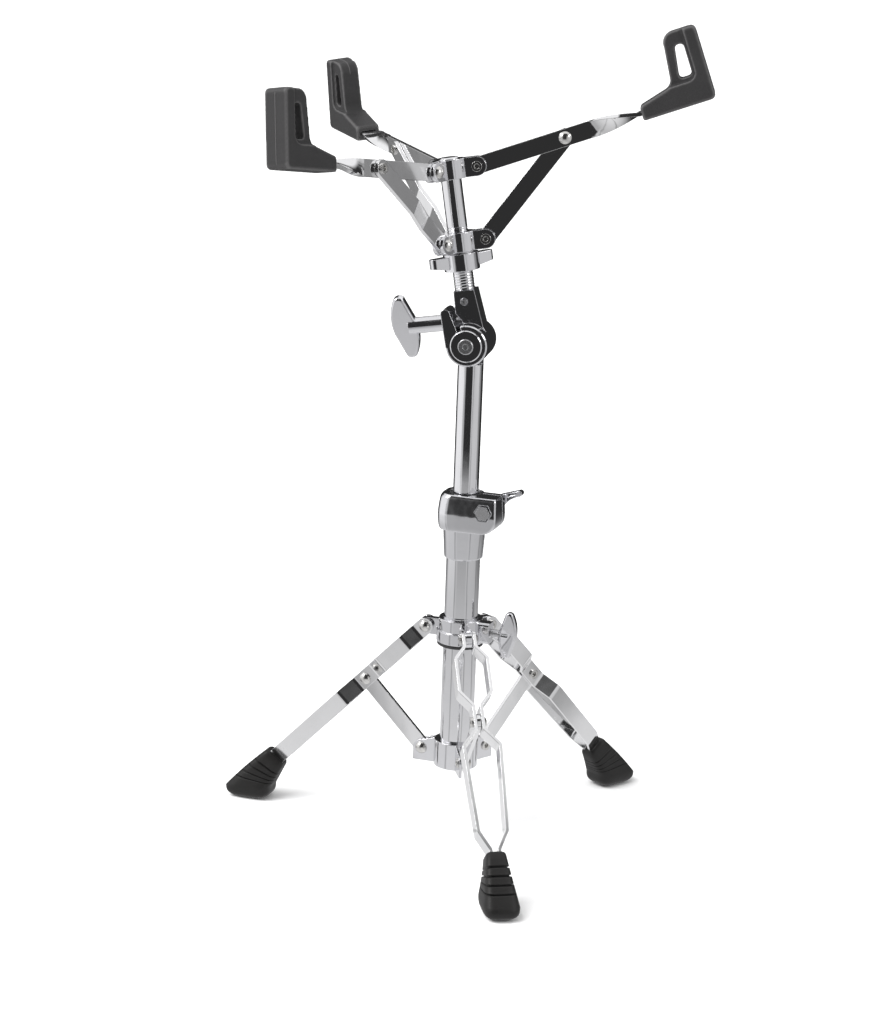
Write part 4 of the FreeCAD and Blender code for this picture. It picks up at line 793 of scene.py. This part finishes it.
low_part = near_paper * (1.0 - spread) + spread * sides + front_panel * spread * near_paper
print("room paint nodes so far:", len(tree.nodes))

# %% Seams between the panels, and the light overhead
# Each seam has an angle and a half width, in degrees.
SEAMS = ((-52, 7), (33, 5), (98, 7))
SEAM_SHADE = 0.45
SEAM_WAVE = 26.0
SEAM_WAVE_SIZE = 0.3
ROOF_FRONT = (-1.7, -1.2)
ROOF_BRIGHT = 0.92
ROOF_DARK = 0.035
ROOF_RISE = (1.7, 2.6)
LAMP_WHITE = (1, 1, 1.01)

wavy = turn + (noise(tree, place, SEAM_WAVE_SIZE) - 0.5) * SEAM_WAVE
for seam, width in SEAMS:
    shade = band(tree, wavy, (seam - width, seam), (seam, seam + width))
    low_part = low_part * (1.0 - SEAM_SHADE * shade)
roof = soft(tree, away, *ROOF_FRONT) * ROOF_BRIGHT + ROOF_DARK
lift = soft(tree, height, *ROOF_RISE)
brightness = low_part * (1.0 - lift) + roof * lift
feed(tree, shader, Emission_Color=tint(tree, brightness, (0, 0, 0), LAMP_WHITE))
print("room paint nodes:", len(tree.nodes))

# %% The walls that carry the paint
# The profile is a radius and a height for each ring, from the middle of the floor to that of the roof.
ROOM_PROFILE = ((0.01, 0.001), (1.4, 0.001), (3.2, 0.001), (3.2, 1.6), (3.2, 3.2), (1.6, 3.6), (0.01, 3.6))
ROOM_SIDES = 96
AZIMUTH = math.radians(-11.90)
rings = []
for radius, rise in ROOM_PROFILE:
    rings.append([(radius * math.sin(angle), radius * math.cos(angle), rise) for angle in angles(ROOM_SIDES)])
mesh = bmesh.new()
join_rings(mesh, rings)
room = stage_piece("room", mesh, room_paint)
room.rotation_euler.z = AZIMUTH
room.visible_camera = False
room.visible_diffuse = False
room.visible_shadow = False
print("room faces:", len(room.data.polygons))

# %% [markdown]
# ## The camera
#
# The photo was taken from a little above and to the left of the front leg, with the camera slightly rolled.
# These values were fitted to the pivots, feet and claws, so the render can be laid beside the photo.

# %% Camera
TARGET = Vector((0, 0, 0.2491))
ELEVATION = math.radians(14.59)
ROLL = math.radians(2.21)
DISTANCE = 1.95279
SENSOR_WIDTH = 36
FOCAL_LENGTH = 92.35
SHIFT = (-0.0181, 0.0006)
back = Vector((math.sin(AZIMUTH) * math.cos(ELEVATION), -math.cos(AZIMUTH) * math.cos(ELEVATION),
               math.sin(ELEVATION)))
right = Vector((math.cos(AZIMUTH), math.sin(AZIMUTH), 0))
above = back.cross(right)
across = right * math.cos(ROLL) + above * math.sin(ROLL)
upward = above * math.cos(ROLL) - right * math.sin(ROLL)
eye = TARGET + back * DISTANCE
lens = bpy.data.cameras.new("camera")
lens.sensor_width = SENSOR_WIDTH
lens.lens = FOCAL_LENGTH
lens.shift_x, lens.shift_y = SHIFT
camera = bpy.data.objects.new("camera", lens)
camera.matrix_world = Matrix.Translation(eye) @ Matrix((across, upward, back)).transposed().to_4x4()
bpy.context.collection.objects.link(camera)
scene.camera = camera
print("camera at", [round(part, 3) for part in eye])


# %% [markdown]
# ## The lights
#
# The rubber and the paper need light of their own, since the painted room only shows in reflections. A large
# soft lamp on the left, a weaker one on the right and a very soft sun give the claws their lighter faces.

# %% Lights
MIDDLE = Vector((0, 0, 0.3))


def round_the_stand(degrees, distance, height):
    """A point round the stand, counted from the camera's side, positive to the right of the picture."""
    angle = AZIMUTH - math.pi / 2 + math.radians(degrees)
    return (distance * math.cos(angle), distance * math.sin(angle), height)


def add_lamp(name, kind, place, power, shown):
    """A lamp that looks at the middle of the stand, shown in reflections or not."""
    lamp = bpy.data.lights.new(name, kind)
    lamp.energy = power
    lamp_object = bpy.data.objects.new(name, lamp)
    facing = (Vector(place) - MIDDLE).to_track_quat("Z", "Y").to_matrix().to_4x4()
    lamp_object.matrix_world = Matrix.Translation(place) @ facing
    lamp_object.visible_glossy = shown
    bpy.context.collection.objects.link(lamp_object)
    return lamp


key = add_lamp("key", "AREA", round_the_stand(degrees=-70, distance=2.2, height=2.0), power=26, shown=True)
key.size = 1.2
fill = add_lamp("fill", "AREA", round_the_stand(degrees=62, distance=2.4, height=1.6), power=10, shown=True)
fill.size = 1.0
daylight = add_lamp("daylight", "SUN", round_the_stand(degrees=-58, distance=2.0, height=2.9), power=2.7,
                    shown=False)
daylight.angle = math.radians(50)
print("lamps:", key.name, fill.name, daylight.name)
